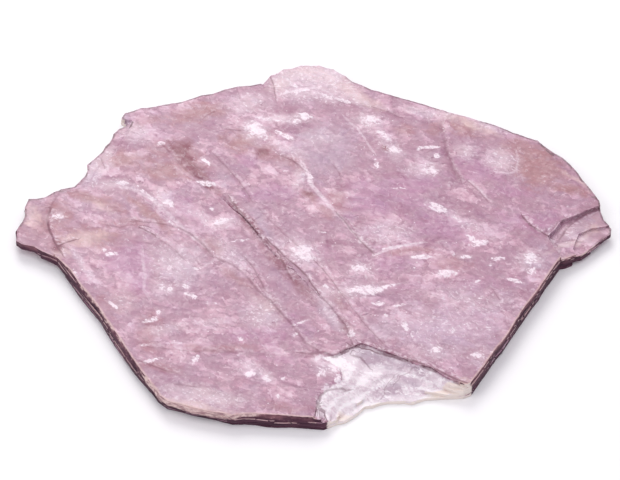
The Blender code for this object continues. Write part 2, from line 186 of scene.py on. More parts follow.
for cut in range(CUTS):
    select_items("edges", too_long(plate.data))
    bpy.ops.object.mode_set(mode="EDIT")
    bpy.ops.mesh.subdivide(number_cuts=1)
    bpy.ops.mesh.select_all(action="SELECT")
    bpy.ops.mesh.quads_convert_to_tris(quad_method="SHORTEST_DIAGONAL", ngon_method="BEAUTY")
    bpy.ops.mesh.beautify_fill(angle_limit=math.radians(0.5))
    bpy.ops.object.mode_set(mode="OBJECT")
    print("after cut", cut + 1, ":", len(plate.data.polygons), "faces")

# %% [markdown]
# ## Where the colours and flakes lie
#
# The plate isn't one colour. Iron stains some places a dusty rose or russet, manganese makes the middle
# right violet, and where flakes have broken out the deeper sheets look mauve or a cool grey. Wherever sheets
# have parted there is air between them, which scatters light and turns the mica pale or cream, or quite
# white where the sheets are crumbled. Each such place is one entry, in millimetres: where its middle is, how
# long and how wide it is, how many degrees it is turned, and how strong it is.

# %% Pale places
PALE = [
    (-0.5, 30, 14.3, 10.5, 0, 1.6), (4.5, 26.2, 10.7, 3.1, -32, 0.7), (-9, 24.7, 8.8, 4.5, 8, 0.7),
    (-24.8, 19, 5.4, 3.7, -34, 0.9), (-29.7, 11.9, 8.6, 3.5, 65, 1.2), (-28.2, 15.1, 4, 2.3, 63, 0.9),
    (-27.6, 8.4, 8.7, 2.3, -12, 0.6), (-18.8, -6.3, 10.1, 8.7, -81, 0.6), (-20.2, -11, 4.6, 3.4, -85, 0.6),
    (-14.3, -29.4, 12.7, 3.6, -11, 0.8), (-18.8, -17.7, 5.7, 2.4, 14, 0.5), (-8, 19.2, 6.9, 4.1, -51, 0.9),
    (-1.8, -4.6, 7.7, 5.3, -56, 0.9), (4.2, -11.3, 12.7, 3.5, 7, 0.6), (7.8, 20.8, 6.2, 5.3, 3, 0.7),
    (10.9, 15.9, 6.2, 3.6, -63, 0.6), (26.2, 13.1, 5.6, 4.9, -84, 0.9), (21.4, 14.5, 4.4, 3.4, 4, 0.7),
    (10, -0.6, 8.6, 4.8, 1, 0.7), (16.4, 22.9, 10, 2.4, -18, 0.8), (24.5, 20.4, 7.6, 2.5, -30, 0.8),
    (0.6, 17.7, 5.6, 3.2, 0, 0.5), (33.7, -0.7, 6.4, 4.5, 34, 0.5), (-30.4, -6.7, 9.4, 1.4, -56, 0.7),
    (2.8, -15.9, 13.1, 2, -59, 0.6), (-4, 15.5, 7.9, 2.5, -42, 0.6), (14.7, 11.6, 5.2, 4.7, 7, 0.5),
    (20.8, 0.8, 8.6, 3.2, -36, 0.5), (-4, 21.6, 8.5, 2.4, -12, 0.7), (0.9, 26.4, 9.1, 2.7, -30, 0.8),
    (-15.3, 2.3, 9.1, 2.3, -40, 0.5), (-12.3, 1.1, 5.5, 3.3, 17, 0.6), (-20.2, 5.3, 6.3, 3.3, -46, 0.6),
    (6.1, -7.4, 5.3, 3.6, 1, 0.5), (15.5, -21.8, 7.7, 4.1, 1, 0.4), (21.2, -22.8, 4.4, 3.5, 58, 0.4),
    (-7.5, -25.5, 6.5, 2.9, -22, 0.6), (-12.8, -16.6, 7.8, 2.8, 0, 0.4), (28.7, -5.9, 5.5, 4, 82, 0.5),
    (-1.9, 9.2, 5.7, 2.2, 78, 0.7), (1.8, -24.2, 5.2, 4.2, -79, 0.9), (-11.1, -5, 9.6, 4.5, -54, 0.5),
    (20.4, -13.1, 15.6, 7, -15, 0.4), (16.3, -17.5, 15.5, 8.6, 1, 0.5), (-24.6, -13.1, 5.1, 3.3, -70, 0.4),
    (-6.3, -15.2, 7.7, 5.8, -66, 0.7),
]
CREAM_PLACES = [
    (0.7, 30.8, 12.1, 3.4, -12, 1), (17.9, -27.4, 7, 1.5, 16, 1.3), (7.8, -29, 2, 1, 0, 0.8),
    (3.9, -31.5, 3.1, 0.9, 26, 0.6), (-4.1, 29.6, 6.2, 2.8, 32, 0.8), (6.6, 26, 9.7, 2.3, -32, 0.8),
    (4.5, 28.1, 5.6, 2.6, -46, 0.6), (-31, -2.2, 7.2, 3, 15, 0.6), (-33.8, -4.5, 2.9, 1.5, -1, 0.7),
    (-38.4, 3, 5.7, 1.9, -85, 0.5), (-15.3, -30.8, 12.7, 1.1, -12, 0.9), (22.5, 19.8, 9.3, 1.8, -29, 0.6),
    (36.9, 9, 6.7, 1.6, -48, 0.4), (-29.2, -13.1, 9.9, 0.7, -58, 0.6), (34.3, -2.2, 9.3, 1.3, 38, 0.5),
    (33.4, -5.6, 2.5, 1.3, 44, 0.6), (-29, 4.4, 4.1, 1.6, -42, 0.3),
]
print(len(PALE), "pale places and", len(CREAM_PLACES), "cream ones")

# %% Stains and painted shade
ROSE = [
    (-20.4, 10.8, 8.6, 4.3, -9, 0.9), (-17.4, 13.5, 10, 5.2, -62, 1), (-26.1, 13.5, 8.6, 3.2, 0, 0.8),
    (-16, 22.9, 8.9, 4.5, 17, 0.7), (-22.3, 21.4, 7.1, 2.4, 18, 0.5), (-21, 15.1, 5.8, 4.4, -3, 0.7),
    (-22.1, 3, 10, 2.1, -47, 1), (-30.1, 5.9, 9.2, 2.5, -21, 0.9), (-34.3, 3, 5.6, 5.2, -36, 0.5),
    (-25, 1.1, 8.1, 2.3, 0, 0.5), (-30.6, -1.5, 8, 4.5, -2, 0.5), (-10, 17.5, 5.9, 5.2, -4, 0.8),
    (-6.7, 15.1, 4, 3.6, -86, 0.9), (-3.9, 13.1, 7.9, 2.5, -36, 0.7), (-0.5, 6.3, 4, 2, -46, 1),
    (2.2, 3.4, 3.3, 1.9, -60, 0.9), (3.6, 6.1, 5.7, 3.3, 89, 0.6), (31.2, 12.1, 9.4, 7.8, -63, 1),
    (28.4, 15.5, 5.2, 4.7, 72, 0.8), (35, 6.9, 6.2, 2.3, -12, 0.9), (21.3, 18.6, 5.6, 2.7, -32, 0.9),
    (17, 19.6, 3.9, 3.6, 13, 0.9), (12.8, 19.4, 3.6, 2.4, 1, 0.7), (18.7, -6.3, 5.8, 3.3, 1, 0.5),
    (-21.1, -18.7, 8.2, 3.9, -87, 0.7), (-25.6, -13.1, 6.8, 4.9, -4, 0.4), (-6, -13.8, 7.6, 2.7, -51, 0.6),
    (-10, -9.2, 8.3, 1.5, -49, 0.8), (-12.7, -21.3, 12.4, 1.7, -5, 0.6), (-19.6, -24.5, 8.2, 1.9, -20, 0.6),
    (-3.6, -31, 7.5, 2, 0, 0.5), (3.7, -13.3, 5.4, 2, -60, 0.6), (12.8, -4.1, 8.3, 1.5, 4, 0.7),
    (-13.6, -3.3, 5.9, 2.6, -66, 0.6), (-27.6, 4.6, 6.3, 2.6, -42, 0.6), (-1.9, 11.6, 3.6, 2.3, -55, 0.5),
]
RUSSET = [
    (31.2, 12.1, 10.8, 8.9, -60, 1), (-36.2, 1.1, 10.5, 6.2, -83, 0.6), (36.9, 0.8, 7.4, 6.1, 46, 0.4),
    (-26.1, 13.5, 6.9, 4, -1, 0.6), (-16, 22.9, 8.9, 4.5, 17, 0.5), (-30.1, 5.9, 9.2, 2.5, -21, 0.7),
    (-22.1, 3, 10, 2.1, -47, 0.6), (35, 7.3, 6.8, 2.7, -15, 0.8), (-28.6, -2.2, 8, 4.4, -2, 0.5),
    (-20.4, 10.8, 8.6, 4.3, -9, 0.5), (-10, 17.5, 5.9, 5.2, -4, 0.5), (-14.3, -28.9, 12.7, 2.6, -11, 0.4),
    (21.9, 19.2, 8.7, 3.1, -30, 0.6),
]
VIOLET = [
    (9.7, 5.3, 12.8, 7.6, 1, 0.9), (-24.1, -6.3, 7.5, 7.1, -32, 0.6), (17.4, -17.5, 14.2, 8.6, 1, 0.6),
    (13.2, 8.4, 8.8, 5.8, 1, 0.9), (17, 0.4, 11.3, 5.9, -16, 0.8), (6.6, 8.4, 6, 3.5, 0, 0.5),
    (23.2, 10.8, 9.4, 4.9, -32, 0.9), (27.1, 6.9, 8.2, 2.7, 0, 0.6), (-24.6, -5.6, 7.3, 6.6, -74, 1.2),
    (-23.6, -10.6, 5, 3.1, -85, 0.7), (-17.3, 3.8, 7, 3.4, -55, 0.7), (-5.3, 6.9, 9.8, 3.5, 0, 0.9),
    (-8.8, 13.5, 5, 3.4, -1, 0.8), (-5.6, -19.4, 12.4, 3.8, 0, 0.6), (9.5, -6.3, 8.5, 4.7, 1, 0.6),
    (12, -11, 8.5, 2.1, 7, 0.5), (29.9, 1.5, 10.3, 4.9, 1, 0.6), (-2.8, -17, 3.5, 2.6, -89, 0.3),
    (19.9, -10.6, 11, 3.2, 0, 0.4), (9.6, -0.4, 8.3, 4.5, 1, 0.6), (-5, -22.7, 7.7, 2, 0, 0.4),
    (0.3, -4.5, 5.3, 2.9, 0, 0.4),
]
MAUVE = [
    (-4.7, 24.1, 6.5, 3.5, 0, 1), (-16.2, 11.9, 8.1, 1.8, -58, 0.6), (-3.3, 19.6, 8.1, 2.2, 0, 0.9),
    (9.9, 15.1, 2.6, 1.7, -56, 0.9), (12.1, 10, 6, 1.8, 0, 0.6), (2.9, -2.8, 3.7, 2, 0, 0.9),
    (11.7, 4.2, 9.5, 1.7, -40, 0.6), (19.9, 4.6, 7.7, 1.6, -31, 0.8), (16.9, -2.4, 5.6, 2.4, 0, 0.7),
    (4.3, 8, 3.6, 2.5, 1, 0.6), (13.2, -0.2, 2.4, 1.7, 2, 0.6), (18.4, 15.1, 10.9, 1.7, -84, 0.9),
    (19.8, 10, 4.6, 1.5, -68, 0.7), (-10.8, -6.3, 6.2, 0.9, -47, 0.7), (-18.7, 2.3, 4.8, 1.3, -48, 0.6),
    (10.9, 0, 1.3, 1.1, 3, 0.5), (8, 22.2, 1.1, 0.8, 1, 0.3), (5.9, -21, 3.9, 1, -20, 0.5),
    (-14.6, -22.2, 14.1, 0.8, -3, 0.6), (-17.6, -25.9, 5.2, 0.7, -13, 0.6),
]
COOL_GREY = [
    (1.2, 15.1, 11.5, 10.5, 89, 0.9), (17.9, -18.4, 15.5, 9.6, 1, 0.8), (-17.1, -6.3, 8.7, 7.9, -78, 0.5),
    (1.9, -15.2, 13.1, 2.2, -59, 0.9), (36.9, 0.8, 6.8, 5.5, 42, 0.9), (-7.8, 2.7, 5.7, 2.1, -57, 0.6),
    (-13.7, -28.9, 13.2, 2.9, -11, 0.7), (9.2, -18.4, 7.7, 5.2, 1, 0.5), (30.7, -5.9, 7.3, 5.3, 82, 0.4),
    (-26.8, 21.6, 2.9, 1.7, -85, 1), (-30.1, 12.1, 6.9, 2.2, 63, 0.7), (-6.9, 0.4, 10, 2.1, -58, 0.6),
    (-12.2, 10.2, 7, 2.1, -61, 0.3),
]
# Painted shade: dark plum smears where the sheets bend along the fractures.
PAINTED_FRACTURE_SHADE = [
    (-18.2, 15.1, 4.2, 2.6, 84, 0.8), (-18.3, 13.9, 2.6, 1.5, -69, 0.5), (-17, 12.5, 9.6, 1.8, -59, 1),
    (-18.8, 14.3, 6.2, 1, -63, 0.6), (-14.2, 8, 5.3, 1.2, -40, 0.7), (-15.6, 10.4, 3.9, 2.1, -63, 0.9),
    (-7, 14.7, 1.8, 1.6, -3, 0.9), (-9.4, 2.1, 8.5, 0.9, -60, 0.9), (-8.3, 0.4, 7.4, 1.6, -59, 0.7),
    (-3.9, -6.7, 7.4, 1, -63, 0.6), (-1.5, -10.8, 8, 1.7, -59, 0.3), (4.2, -17.7, 3.9, 1.6, -71, 0.3),
    (-0.8, 6.7, 1.8, 1.1, -36, 0.9), (9.9, 15.5, 1.4, 0.9, -52, 1), (-34.1, -3.2, 2.6, 1.6, -77, 0.6),
    (-5.8, -5, 9.8, 1.2, -59, 0.4),
]
print(len(ROSE), "rose places,", len(VIOLET), "violet ones and", len(PAINTED_FRACTURE_SHADE), "dark smears")

# %% [markdown]
# ### White flakes, the ledge and the rims
#
# The white flakes are chips of a few sheets that stand up, mostly one to three millimetres long. On the
# ledge at the front most of the book is gone, and the last thin sheets lie bare, white and grey, the grey
# partly painted shade below the front edge. The rim has its own places: thin edges with too few sheets to
# look dark, cream ones where the top sheets are bevelled, partly pale sheets and partly a painted highlight,
# bare ones with no dark line, and a stretch at the front left where the lower sheets are broken back. Two
# wide places at the left have a steeper grain than the rest.

# %% White flakes, the ledge and the rims
WHITE_FLAKES = [
    (2.6, -24.5, 2, 1.5, -57, 0.7), (1, -25.5, 1.6, 1.3, -42, 0.5), (1.7, -27.9, 1.7, 1.5, 88, 0.6),
    (0.8, -22.8, 2.9, 0.8, 27, 0.5), (-3.1, 29.1, 2.8, 0.9, -53, 0.5), (3.1, -26.5, 2, 0.9, 89, 0.8),
    (16.7, 3.8, 3.4, 1.6, -31, 1), (19.2, 1.9, 2.2, 0.8, -54, 0.8), (28.7, -5.4, 2.4, 2.1, 74, 1),
    (28.8, -7.9, 1.6, 1.2, 82, 0.9), (17.7, -8.3, 3.2, 1.4, 5, 0.9), (20.4, -5.4, 2.1, 0.9, 1, 0.9),
    (24.5, -5.7, 1.7, 0.9, 1, 0.8), (14.1, -5.4, 2.7, 0.9, 0, 0.9), (22.2, -2.8, 2.7, 1.4, 14, 0.9),
    (20.9, -1.7, 1.7, 0.9, -32, 0.6), (6.7, -11.5, 5.8, 2, 3, 1), (9.8, -10.6, 4.6, 0.5, 16, 0.8),
    (-1.4, -4.5, 4.1, 2.8, -46, 1), (8.1, 21.4, 3.4, 1.8, 0, 0.8), (9.9, 18.1, 2.9, 1.4, -47, 0.8),
    (11.3, 15.1, 1.8, 1.7, 80, 0.9), (8.6, 12.3, 2.4, 0.7, 89, 0.7), (-7.9, 19.2, 4.3, 2.6, -52, 1),
    (-6.4, 21.4, 4.8, 0.8, -12, 0.7), (-4, 18.1, 3.4, 0.9, -35, 0.6), (-1.2, 22, 2.8, 1.4, 0, 0.8),
    (-2.4, 20.8, 1.4, 1.4, -84, 0.7), (-14.7, 8.6, 2.8, 1.1, -16, 1), (-14.8, 12.9, 2.3, 0.8, -47, 0.9),
    (-19.8, 4.9, 2.4, 1.7, -43, 0.9), (-12.3, 1.3, 2.7, 1.3, 19, 1), (-34.5, 2.5, 1.9, 1.7, -16, 0.7),
    (-27, -4.6, 1.7, 0.9, -1, 1), (-27.9, -3.9, 0.8, 0.7, -17, 0.9), (-26.2, -13.8, 2.4, 0.6, -40, 1),
    (-21.1, -16.5, 2.4, 0.9, 21, 0.6), (-16.1, -12.1, 2, 1, -36, 0.9), (-16.8, -10.5, 1.4, 0.8, -33, 0.7),
    (-18.7, -11, 1.2, 0.9, -3, 0.7), (-19.9, -10.6, 1.3, 0.8, -86, 0.6), (-21.9, -20.8, 1.2, 0.5, -1, 1),
    (-17.7, -20.3, 1.3, 0.9, -2, 0.5), (-20.2, -15.2, 1.2, 0.6, -87, 0.7), (-15.7, -7.2, 1.9, 0.5, 0, 0.8),
    (-13.5, -13.5, 2.9, 0.5, -7, 0.9), (-9.4, -19.6, 0.9, 0.8, -84, 0.8), (-8.1, -25.7, 1.5, 1, 16, 0.9),
    (-5.9, -26.5, 1.8, 1.2, -37, 0.9), (-4.5, -29.5, 1, 1, -12, 0.5), (-3.9, -26.5, 0.7, 0.6, -85, 0.8),
    (15.8, -21.8, 1.5, 1.3, 83, 0.8), (4.9, -19.1, 1.9, 1, 89, 1), (-21.2, 16.5, 1.3, 0.8, -2, 1),
    (-16.1, 16.7, 1.1, 0.3, -41, 0.7), (-26.1, 8.8, 1.7, 0.7, -8, 1), (15.9, 15.7, 3.3, 0.6, 0, 0.8),
    (14.6, 15.3, 1, 0.8, 84, 0.8), (17.1, 13.9, 1.2, 1, 84, 0.8), (6.2, -2.2, 1.5, 1.1, 88, 0.6),
    (10.9, -3.5, 5.7, 0.5, 14, 0.9), (9.3, -15.9, 0.8, 0.7, 5, 0.8), (11.8, -17.7, 2, 0.8, -79, 0.7),
    (12.7, -19.1, 1.4, 0.5, 88, 0.6), (8.4, -13.7, 1.6, 1.1, 1, 0.7), (10.6, -14.2, 4, 0.5, 13, 0.6),
    (21.5, -9.9, 1.3, 0.5, 34, 0.9), (26.6, -9.7, 2.6, 0.7, -17, 0.8), (22.5, -18, 1.3, 0.8, -54, 0.7),
    (21.7, -12.9, 0.9, 0.5, 1, 0.8), (13.3, -7.6, 0.7, 0.7, 80, 0.8), (18.7, -4.8, 0.7, 0.7, 78, 0.8),
    (23.4, -6.7, 0.8, 0.7, 14, 0.5), (31.8, 0, 1.7, 0.3, 57, 0.6), (34.5, 4, 0.7, 0.4, 2, 0.8),
    (1.5, -10.8, 1.1, 0.9, 89, 0.8), (0.9, -0.7, 2.1, 0.4, 0, 0.6), (-0.5, 9.6, 2, 1, 90, 0.7),
    (-9.8, -2.2, 2.4, 0.6, 7, 0.6), (-13.8, 3.8, 0.8, 0.8, -11, 0.7), (-15.9, -1.7, 1.2, 0.7, -34, 0.8),
    (6.1, -7.4, 2.6, 1.6, 1, 0.6), (16, 11.2, 2.8, 2.7, 43, 0.4), (20.6, -22.7, 2.1, 1, 22, 0.5),
    (33.3, -6.3, 0.6, 0.5, 56, 0.8), (22.8, -22.2, 0.6, 0.5, 5, 0.8), (17.9, -18.4, 1.2, 0.9, 85, 0.5),
    (15, -21, 0.8, 0.5, 2, 0.7), (-1.8, -17, 3.5, 0.5, 24, 0.7), (-2.5, -19.1, 1, 1, -64, 0.6),
    (-15.3, -23.2, 1.6, 1.5, -39, 0.5), (-20.8, -23.4, 3.1, 0.7, 20, 0.5), (-31.5, -8.3, 1.6, 0.9, -55, 0.5),
    (-16.6, 12.1, 1, 0.3, -52, 0.4), (-3.9, 7.8, 0.8, 0.6, 0, 0.8), (-3.9, 11, 1.1, 0.4, 0, 0.7),
    (2.9, 25.8, 7.2, 0.8, -18, 0.6), (-1.9, 27.4, 4.9, 0.8, 12, 0.6), (-22.3, 6.1, 6.5, 0.6, -47, 0.5),
    (-19.1, 1.1, 4.9, 0.5, -48, 0.4), (11.1, 7.6, 4.6, 0.4, 0, 0.4),
]
LEDGE_WHITE = [
    (5.9, -26.2, 7.6, 2, -11, 0.7), (2.2, -25.5, 4.3, 1.3, 90, 0.9), (14.1, -26.9, 7.7, 1, 11, 0.6),
    (4.9, -24.5, 2.9, 1.3, -71, 0.6), (4.6, -29.5, 7.7, 4.8, 17, 0.8), (19.8, -27.5, 2, 1.7, 5, 1.2),
    (3, -23.5, 3.5, 2.2, -33, 0.9), (3.5, -25.5, 2.7, 1.8, 89, 1), (7.9, -29.2, 1.5, 1.2, 2, 1),
    (9.4, -28, 1.5, 0.8, -22, 0.8), (17.3, -27.4, 8.5, 1.6, 11, 1), (4.6, -28.7, 3.8, 3.6, 7, 0.5),
    (2, -30.3, 3.8, 2.3, 0, 0.5), (7.8, -25.2, 5.1, 1, -11, 0.5), (12.9, -25.2, 5.1, 1.3, 0, 0.3),
]
# Grey places on the ledge: grey clouds of the thin sheets, partly painted shade below the front edge.
LEDGE_GREY_AND_SHADE = [
    (7.5, -22.5, 7.8, 2, -16, 0.7), (12.3, -23.8, 7.9, 1.6, -26, 0.6), (6.6, -22.8, 3.1, 1.4, -41, 1),
    (10.9, -27, 6.5, 2.3, 14, 0.5), (3.9, -29.8, 2.5, 1, 0, 0.4),
]
THIN_EDGES = [
    (-26.8, 21.4, 6, 5, 0, 1), (-29.5, 14.5, 6, 15, -35, 0.8), (19.6, -28.6, 2.6, 3.2, 0, 1.5),
]
# Cream bevels: partly the pale bevelled top sheets, partly a painted highlight on the edge.
BEVEL_HIGHLIGHT_PLACES = [
    (-17, -30.5, 24, 12, -15, 1.1), (-28.5, -14.5, 9, 34, 30, 0.24), (36, -2.5, 10, 8, 30, 0.8),
]
BARE_RIM = [
    (-1, 30, 14, 12, 0, 1), (-9.5, 25.5, 5, 5, 0, 1), (21, 20, 6, 6, 0, 1),
]
BROKEN_SHEETS = [
    (-15.8, -30.5, 22, 16, -15, 1.6),
]
STEEP_GRAIN = [
    (-14, 4, 34, 26, -50, 1), (0, -10, 24, 12, -50, 1),
]
print(len(WHITE_FLAKES), "white flakes, and", len(LEDGE_WHITE) + len(LEDGE_GREY_AND_SHADE), "places on the ledge")

# %% [markdown]
# ## Lines
#
# The solid's cracks and steps are real edges already, and most of them look like thin dark lines, because a
# sheet's broken edge is as dark as the outside of the book. A few sharp splits have white splinters instead.
# Both are listed with their strength and width, then the points that they pass, all in millimetres: a closed
# crack is a faint hair, and an open one a dark groove.

# %% Lines
DARK_LINES = [
    (0.8, 0.3, [(3.4, -22), (4.7, -21.1), (6.2, -20.8), (8.5, -21.8), (11, -23), (13.5, -24), (16, -25.4),
        (18.3, -26.9), (20, -27.5)]),
    (0.45, 0.3, [(-1.8, -22), (-0.1, -22.3), (1.1, -22), (2.6, -22.7), (3.4, -22)]),
    (0.5, 0.25, [(0.5, -30.5), (0.8, -29.2), (1.7, -28.2), (2.9, -27.9), (4.8, -27.7)]),
    (0.7, 0.16, [(0.5, -30.4), (-0.1, -33.1)]),
    (0.6, 0.14, [(0.7, -30.5), (0.8, -33.1)]),
    (0.8, 0.18, [(0.8, -30.5), (1.6, -32.8)]),
    (0.8, 0.32, [(-11.4, 5.7), (-9.9, 3), (-8.3, 0.4), (-6.9, -2.2)]),
    (0.55, 0.2, [(-6.9, -2.2), (-5.5, -4.3), (-4.1, -6.3), (-3, -9)]),
    (0.8, 0.18, [(-6.1, -2.2), (-4.2, -4.8), (-2.5, -6.7), (-1, -8.8), (0.7, -12.1)]),
    (0.45, 0.2, [(0.7, -12.1), (2.4, -14.4), (4, -17.3), (4.9, -20.5)]),
    (0.25, 0.22, [(-20.9, 16.1), (-19, 13.5), (-17.3, 10.8), (-14.9, 9.2)]),
    (0.38, 0.16, [(-13.9, 14.5), (-12.2, 12.1), (-10.3, 9.2), (-8.6, 5.9)]),
    (0.3, 0.16, [(-7.5, 3.8), (-5.9, 1.5), (-4.1, -0.9), (-2.1, -3.3)]),
    (0.5, 0.16, [(0.3, -6.3), (2, -8.8), (3.2, -11.2)]),
    (0.38, 0.14, [(3.2, -11.2), (4.7, -13.8), (6, -16.3), (7.4, -18.4), (9.3, -21.3)]),
    (0.42, 0.24, [(-24.4, 1.7), (-22.4, 1.3), (-20.4, 1), (-18, 0.2), (-16.6, -0.7), (-14.8, -2.8),
        (-13.4, -5.2)]),
    (0.45, 0.24, [(-12.7, -5.6), (-10.8, -6.7), (-8.9, -8.6), (-7.3, -11.3), (-5.4, -13.5), (-3.1, -17),
        (-1.3, -20.1), (0.5, -21.8)]),
    (0.45, 0.16, [(-9, -5.6), (-7.9, -7.2), (-7.1, -9.4), (-6.5, -11)]),
    (0.9, 0.2, [(-23.2, 0.2), (-22.4, -0.4), (-21.4, -1.1)]),
    (0.3, 0.16, [(-28.1, 0.8), (-26, 0.4), (-24.3, 0.8)]),
    (0.28, 0.16, [(-20.6, -1.9), (-18.6, -3.7), (-17.2, -5.6)]),
    (0.7, 0.22, [(-35.7, 4.2), (-36, 2.1), (-35.7, 0.4), (-34.9, -1.7), (-34.1, -3.5), (-33.5, -4.6)]),
    (0.25, 0.2, [(-35.7, 4.2), (-35.2, 5.7), (-34.6, 6.9)]),
    (0.6, 0.18, [(-34.2, -3.3), (-33.2, -2.4), (-31.9, -1.9)]),
    (0.3, 0.5, [(17.9, 20.6), (18.1, 18.1), (18.4, 15.1), (19.2, 11.7), (20.2, 9)]),
    (0.45, 0.18, [(21.4, 8.6), (22.6, 6.9), (23.7, 5.1)]),
    (0.8, 0.22, [(28.3, 2.1), (29.1, 0.6), (30.4, -0.6), (31.5, -1.5)]),
    (0.6, 0.22, [(31.6, -1.9), (32.2, -3.5), (33, -5.6)]),
    (0.5, 0.22, [(38.6, 4.2), (36.9, 3.2), (35.1, 1.7), (33.8, 0), (32.8, -1.9)]),
    (0.4, 0.16, [(36, 2.7), (34.4, 2.3), (32.9, 1.1), (31.9, -0.7)]),
    (0.3, 0.14, [(35.2, 2.3), (33.6, 0.8), (32.5, -0.9)]),
    (0.4, 0.12, [(32.4, -2.2), (35, -1.7), (36.3, -1.7)]),
    (0.5, 0.16, [(-6.2, 30.6), (-5.6, 28.7), (-5.4, 25.8)]),
    (0.3, 0.22, [(3.9, 25.1), (6, 24.5), (8, 24.1), (10.5, 23.1), (12.2, 21.8)]),
    (0.7, 0.18, [(-27, 22.9), (-27.3, 21)]),
    (0.3, 0.14, [(-29.3, 13.7), (-28.9, 12.1)]),
    (0.5, 0.2, [(-4.6, 14.1), (-3, 13.1), (-1.4, 11.4)]),
    (0.5, 0.2, [(3.2, 2.8), (4.6, 0.6), (5.8, -1.5)]),
    (0.6, 0.2, [(5.9, -1.9), (7, -3.5), (8, -4.6)]),
    (0.32, 0.2, [(-21, -21.1), (-16.5, -21.8), (-11.4, -21.8), (-6.6, -22.3)]),
    (0.45, 0.14, [(-22.3, -23.4), (-20.6, -24.2), (-18.9, -25.2), (-17, -25.7)]),
    (0.3, 0.2, [(-17.2, -27.5), (-15, -27.9)]),
    (0.25, 0.25, [(-13.9, -21.5), (-9.4, -22.3), (-4.3, -22.5)]),
    (0.35, 0.12, [(23.5, -11.3), (24.3, -13.1)]),
    (0.3, 0.12, [(26.9, -11.2), (28.2, -12.2)]),
    (0.5, 0.18, [(-11.8, 19.4), (-10.3, 19.2), (-9.2, 19)]),
    (0.35, 0.14, [(-15.3, 21.8), (-13.9, 23.1)]),
    (0.35, 0.14, [(2.8, 11.9), (3.6, 10.4)]),
    (0.35, 0.14, [(10.3, -25), (9.2, -26.5), (8.6, -28.2)]),
    (0.45, 0.12, [(11.1, -29.7), (12.4, -29.2), (14.3, -29.2)]),
    (0.5, 0.25, [(4.9, -22.3), (6.2, -22.7), (7.2, -24.2)]),
    (0.35, 0.16, [(12.5, -24.5), (11, -25.5), (10.4, -26.5)]),
]
PALE_LINES = [
    (0.8, 0.5, [(-1.6, 12.7), (-0.9, 10.8), (-0.2, 8.2), (0.9, 6.3), (2.2, 4.2)]),
    (0.6, 0.4, [(2.2, 4.2), (4.2, 1.3), (5.8, -1.5), (8.2, -4.6)]),
    (0.9, 0.4, [(8.3, -4.8), (9.9, -4.1), (11.5, -3.3), (13.1, -3), (14.5, -2.8)]),
    (0.6, 0.6, [(-25.9, 8.4), (-24, 7.3), (-22, 5.7), (-20.1, 3.4), (-18.3, 1.1), (-15.9, -1.5),
        (-14.4, -3.3)]),
    (0.7, 0.4, [(-4.3, 26.6), (-2.2, 27.6), (0.2, 28.1), (2.1, 27.2), (3.5, 25.6)]),
    (0.5, 0.4, [(-7.2, 21.6), (-5, 21.8), (-3, 20.6)]),
    (0.5, 0.3, [(21.4, 9), (22.6, 7.3), (23.5, 5.9)]),
    (0.5, 0.35, [(-14.4, -6.8), (-13.2, -5.7), (-11.9, -5.7)]),
    (0.45, 0.4, [(-22.9, -3.7), (-22.6, -6.3), (-22.1, -8.6), (-22.4, -11), (-21.4, -12.8)]),
    (0.5, 0.3, [(4.4, 21.8), (6.1, 19.6), (7.3, 17.1), (8.4, 14.7)]),
    (0.4, 0.3, [(28.1, 14.7), (28.2, 12.7), (27.8, 10.8)]),
    (0.5, 0.3, [(25.4, 10.8), (26.7, 10.4), (27.8, 10.8)]),
]
print(len(DARK_LINES), "dark lines and", len(PALE_LINES), "pale ones")

# %% [markdown]
# ## Measures on the plate
#
# The lists could be painted into an image, but an image has one fixed fineness. Instead each point of the
# mesh is measured against them: how deep in a place it lies, and how far from a line. Noise pushes the
# points about before they are measured, so that the edges come out ragged.

# %% Measures on the plate
GRAIN_TURN = -32
LINE_REACH = 1.0
LINE_FADE = 0.3
FAR_AWAY = 9.0


def wander(points, size, reach, layer):
    """How far each point is pushed aside, so that the edges of places come out ragged and not round."""
    pushes = [noise.noise_vector(Vector((x / size, y / size, layer))) for x, y in points]
    return np.array(pushes)[:, :2] * reach


def turned(points, x, y, turn):
    """How far along and across each point lies from a place that is turned by so many degrees."""
    angle = math.radians(turn)
    along = (points[:, 0] - x) * math.cos(angle) + (points[:, 1] - y) * math.sin(angle)
    across = (points[:, 1] - y) * math.cos(angle) - (points[:, 0] - x) * math.sin(angle)
    return along, across


def inside_places(points, places):
    """How deep in a place each point lies: the place's strength at its middle, 0 at its rim, less outside."""
    deepest = np.full(len(points), -1.0)
    for x, y, length, width, turn, strength in places:
        along, across = turned(points, x, y, turn)
        reach = np.hypot(along / (length / 2), across / (width / 2))
        deepest = np.maximum(deepest, (1 - reach) * np.where(reach < 1, strength, 1))
    return deepest


def beside_lines(points, lines):
    """For each point, the nearest line: the distance to it, counted as negative on its right-hand side, its
    strength, which fades out away from it, and its width."""
    nearest = np.full(len(points), FAR_AWAY)
    strength = np.zeros(len(points))
    width = np.full(len(points), 0.2)
    for line_strength, line_width, line in lines:
        for start, end in zip(line[:-1], line[1:]):
            way = np.subtract(end, start)
            offset = points - start
            share = np.clip(offset @ way / (way @ way), 0, 1)
            distance = np.linalg.norm(offset - share[:, None] * way, axis=1)
            side = np.sign(way[0] * offset[:, 1] - way[1] * offset[:, 0])
            closer = distance < np.abs(nearest)
            faded = line_strength * np.clip((LINE_REACH - distance) / LINE_FADE, 0, 1)
            nearest = np.where(closer, distance * side, nearest)
            strength = np.where(closer, faded, strength)
            width = np.where(closer, line_width, width)
    return nearest, strength, width


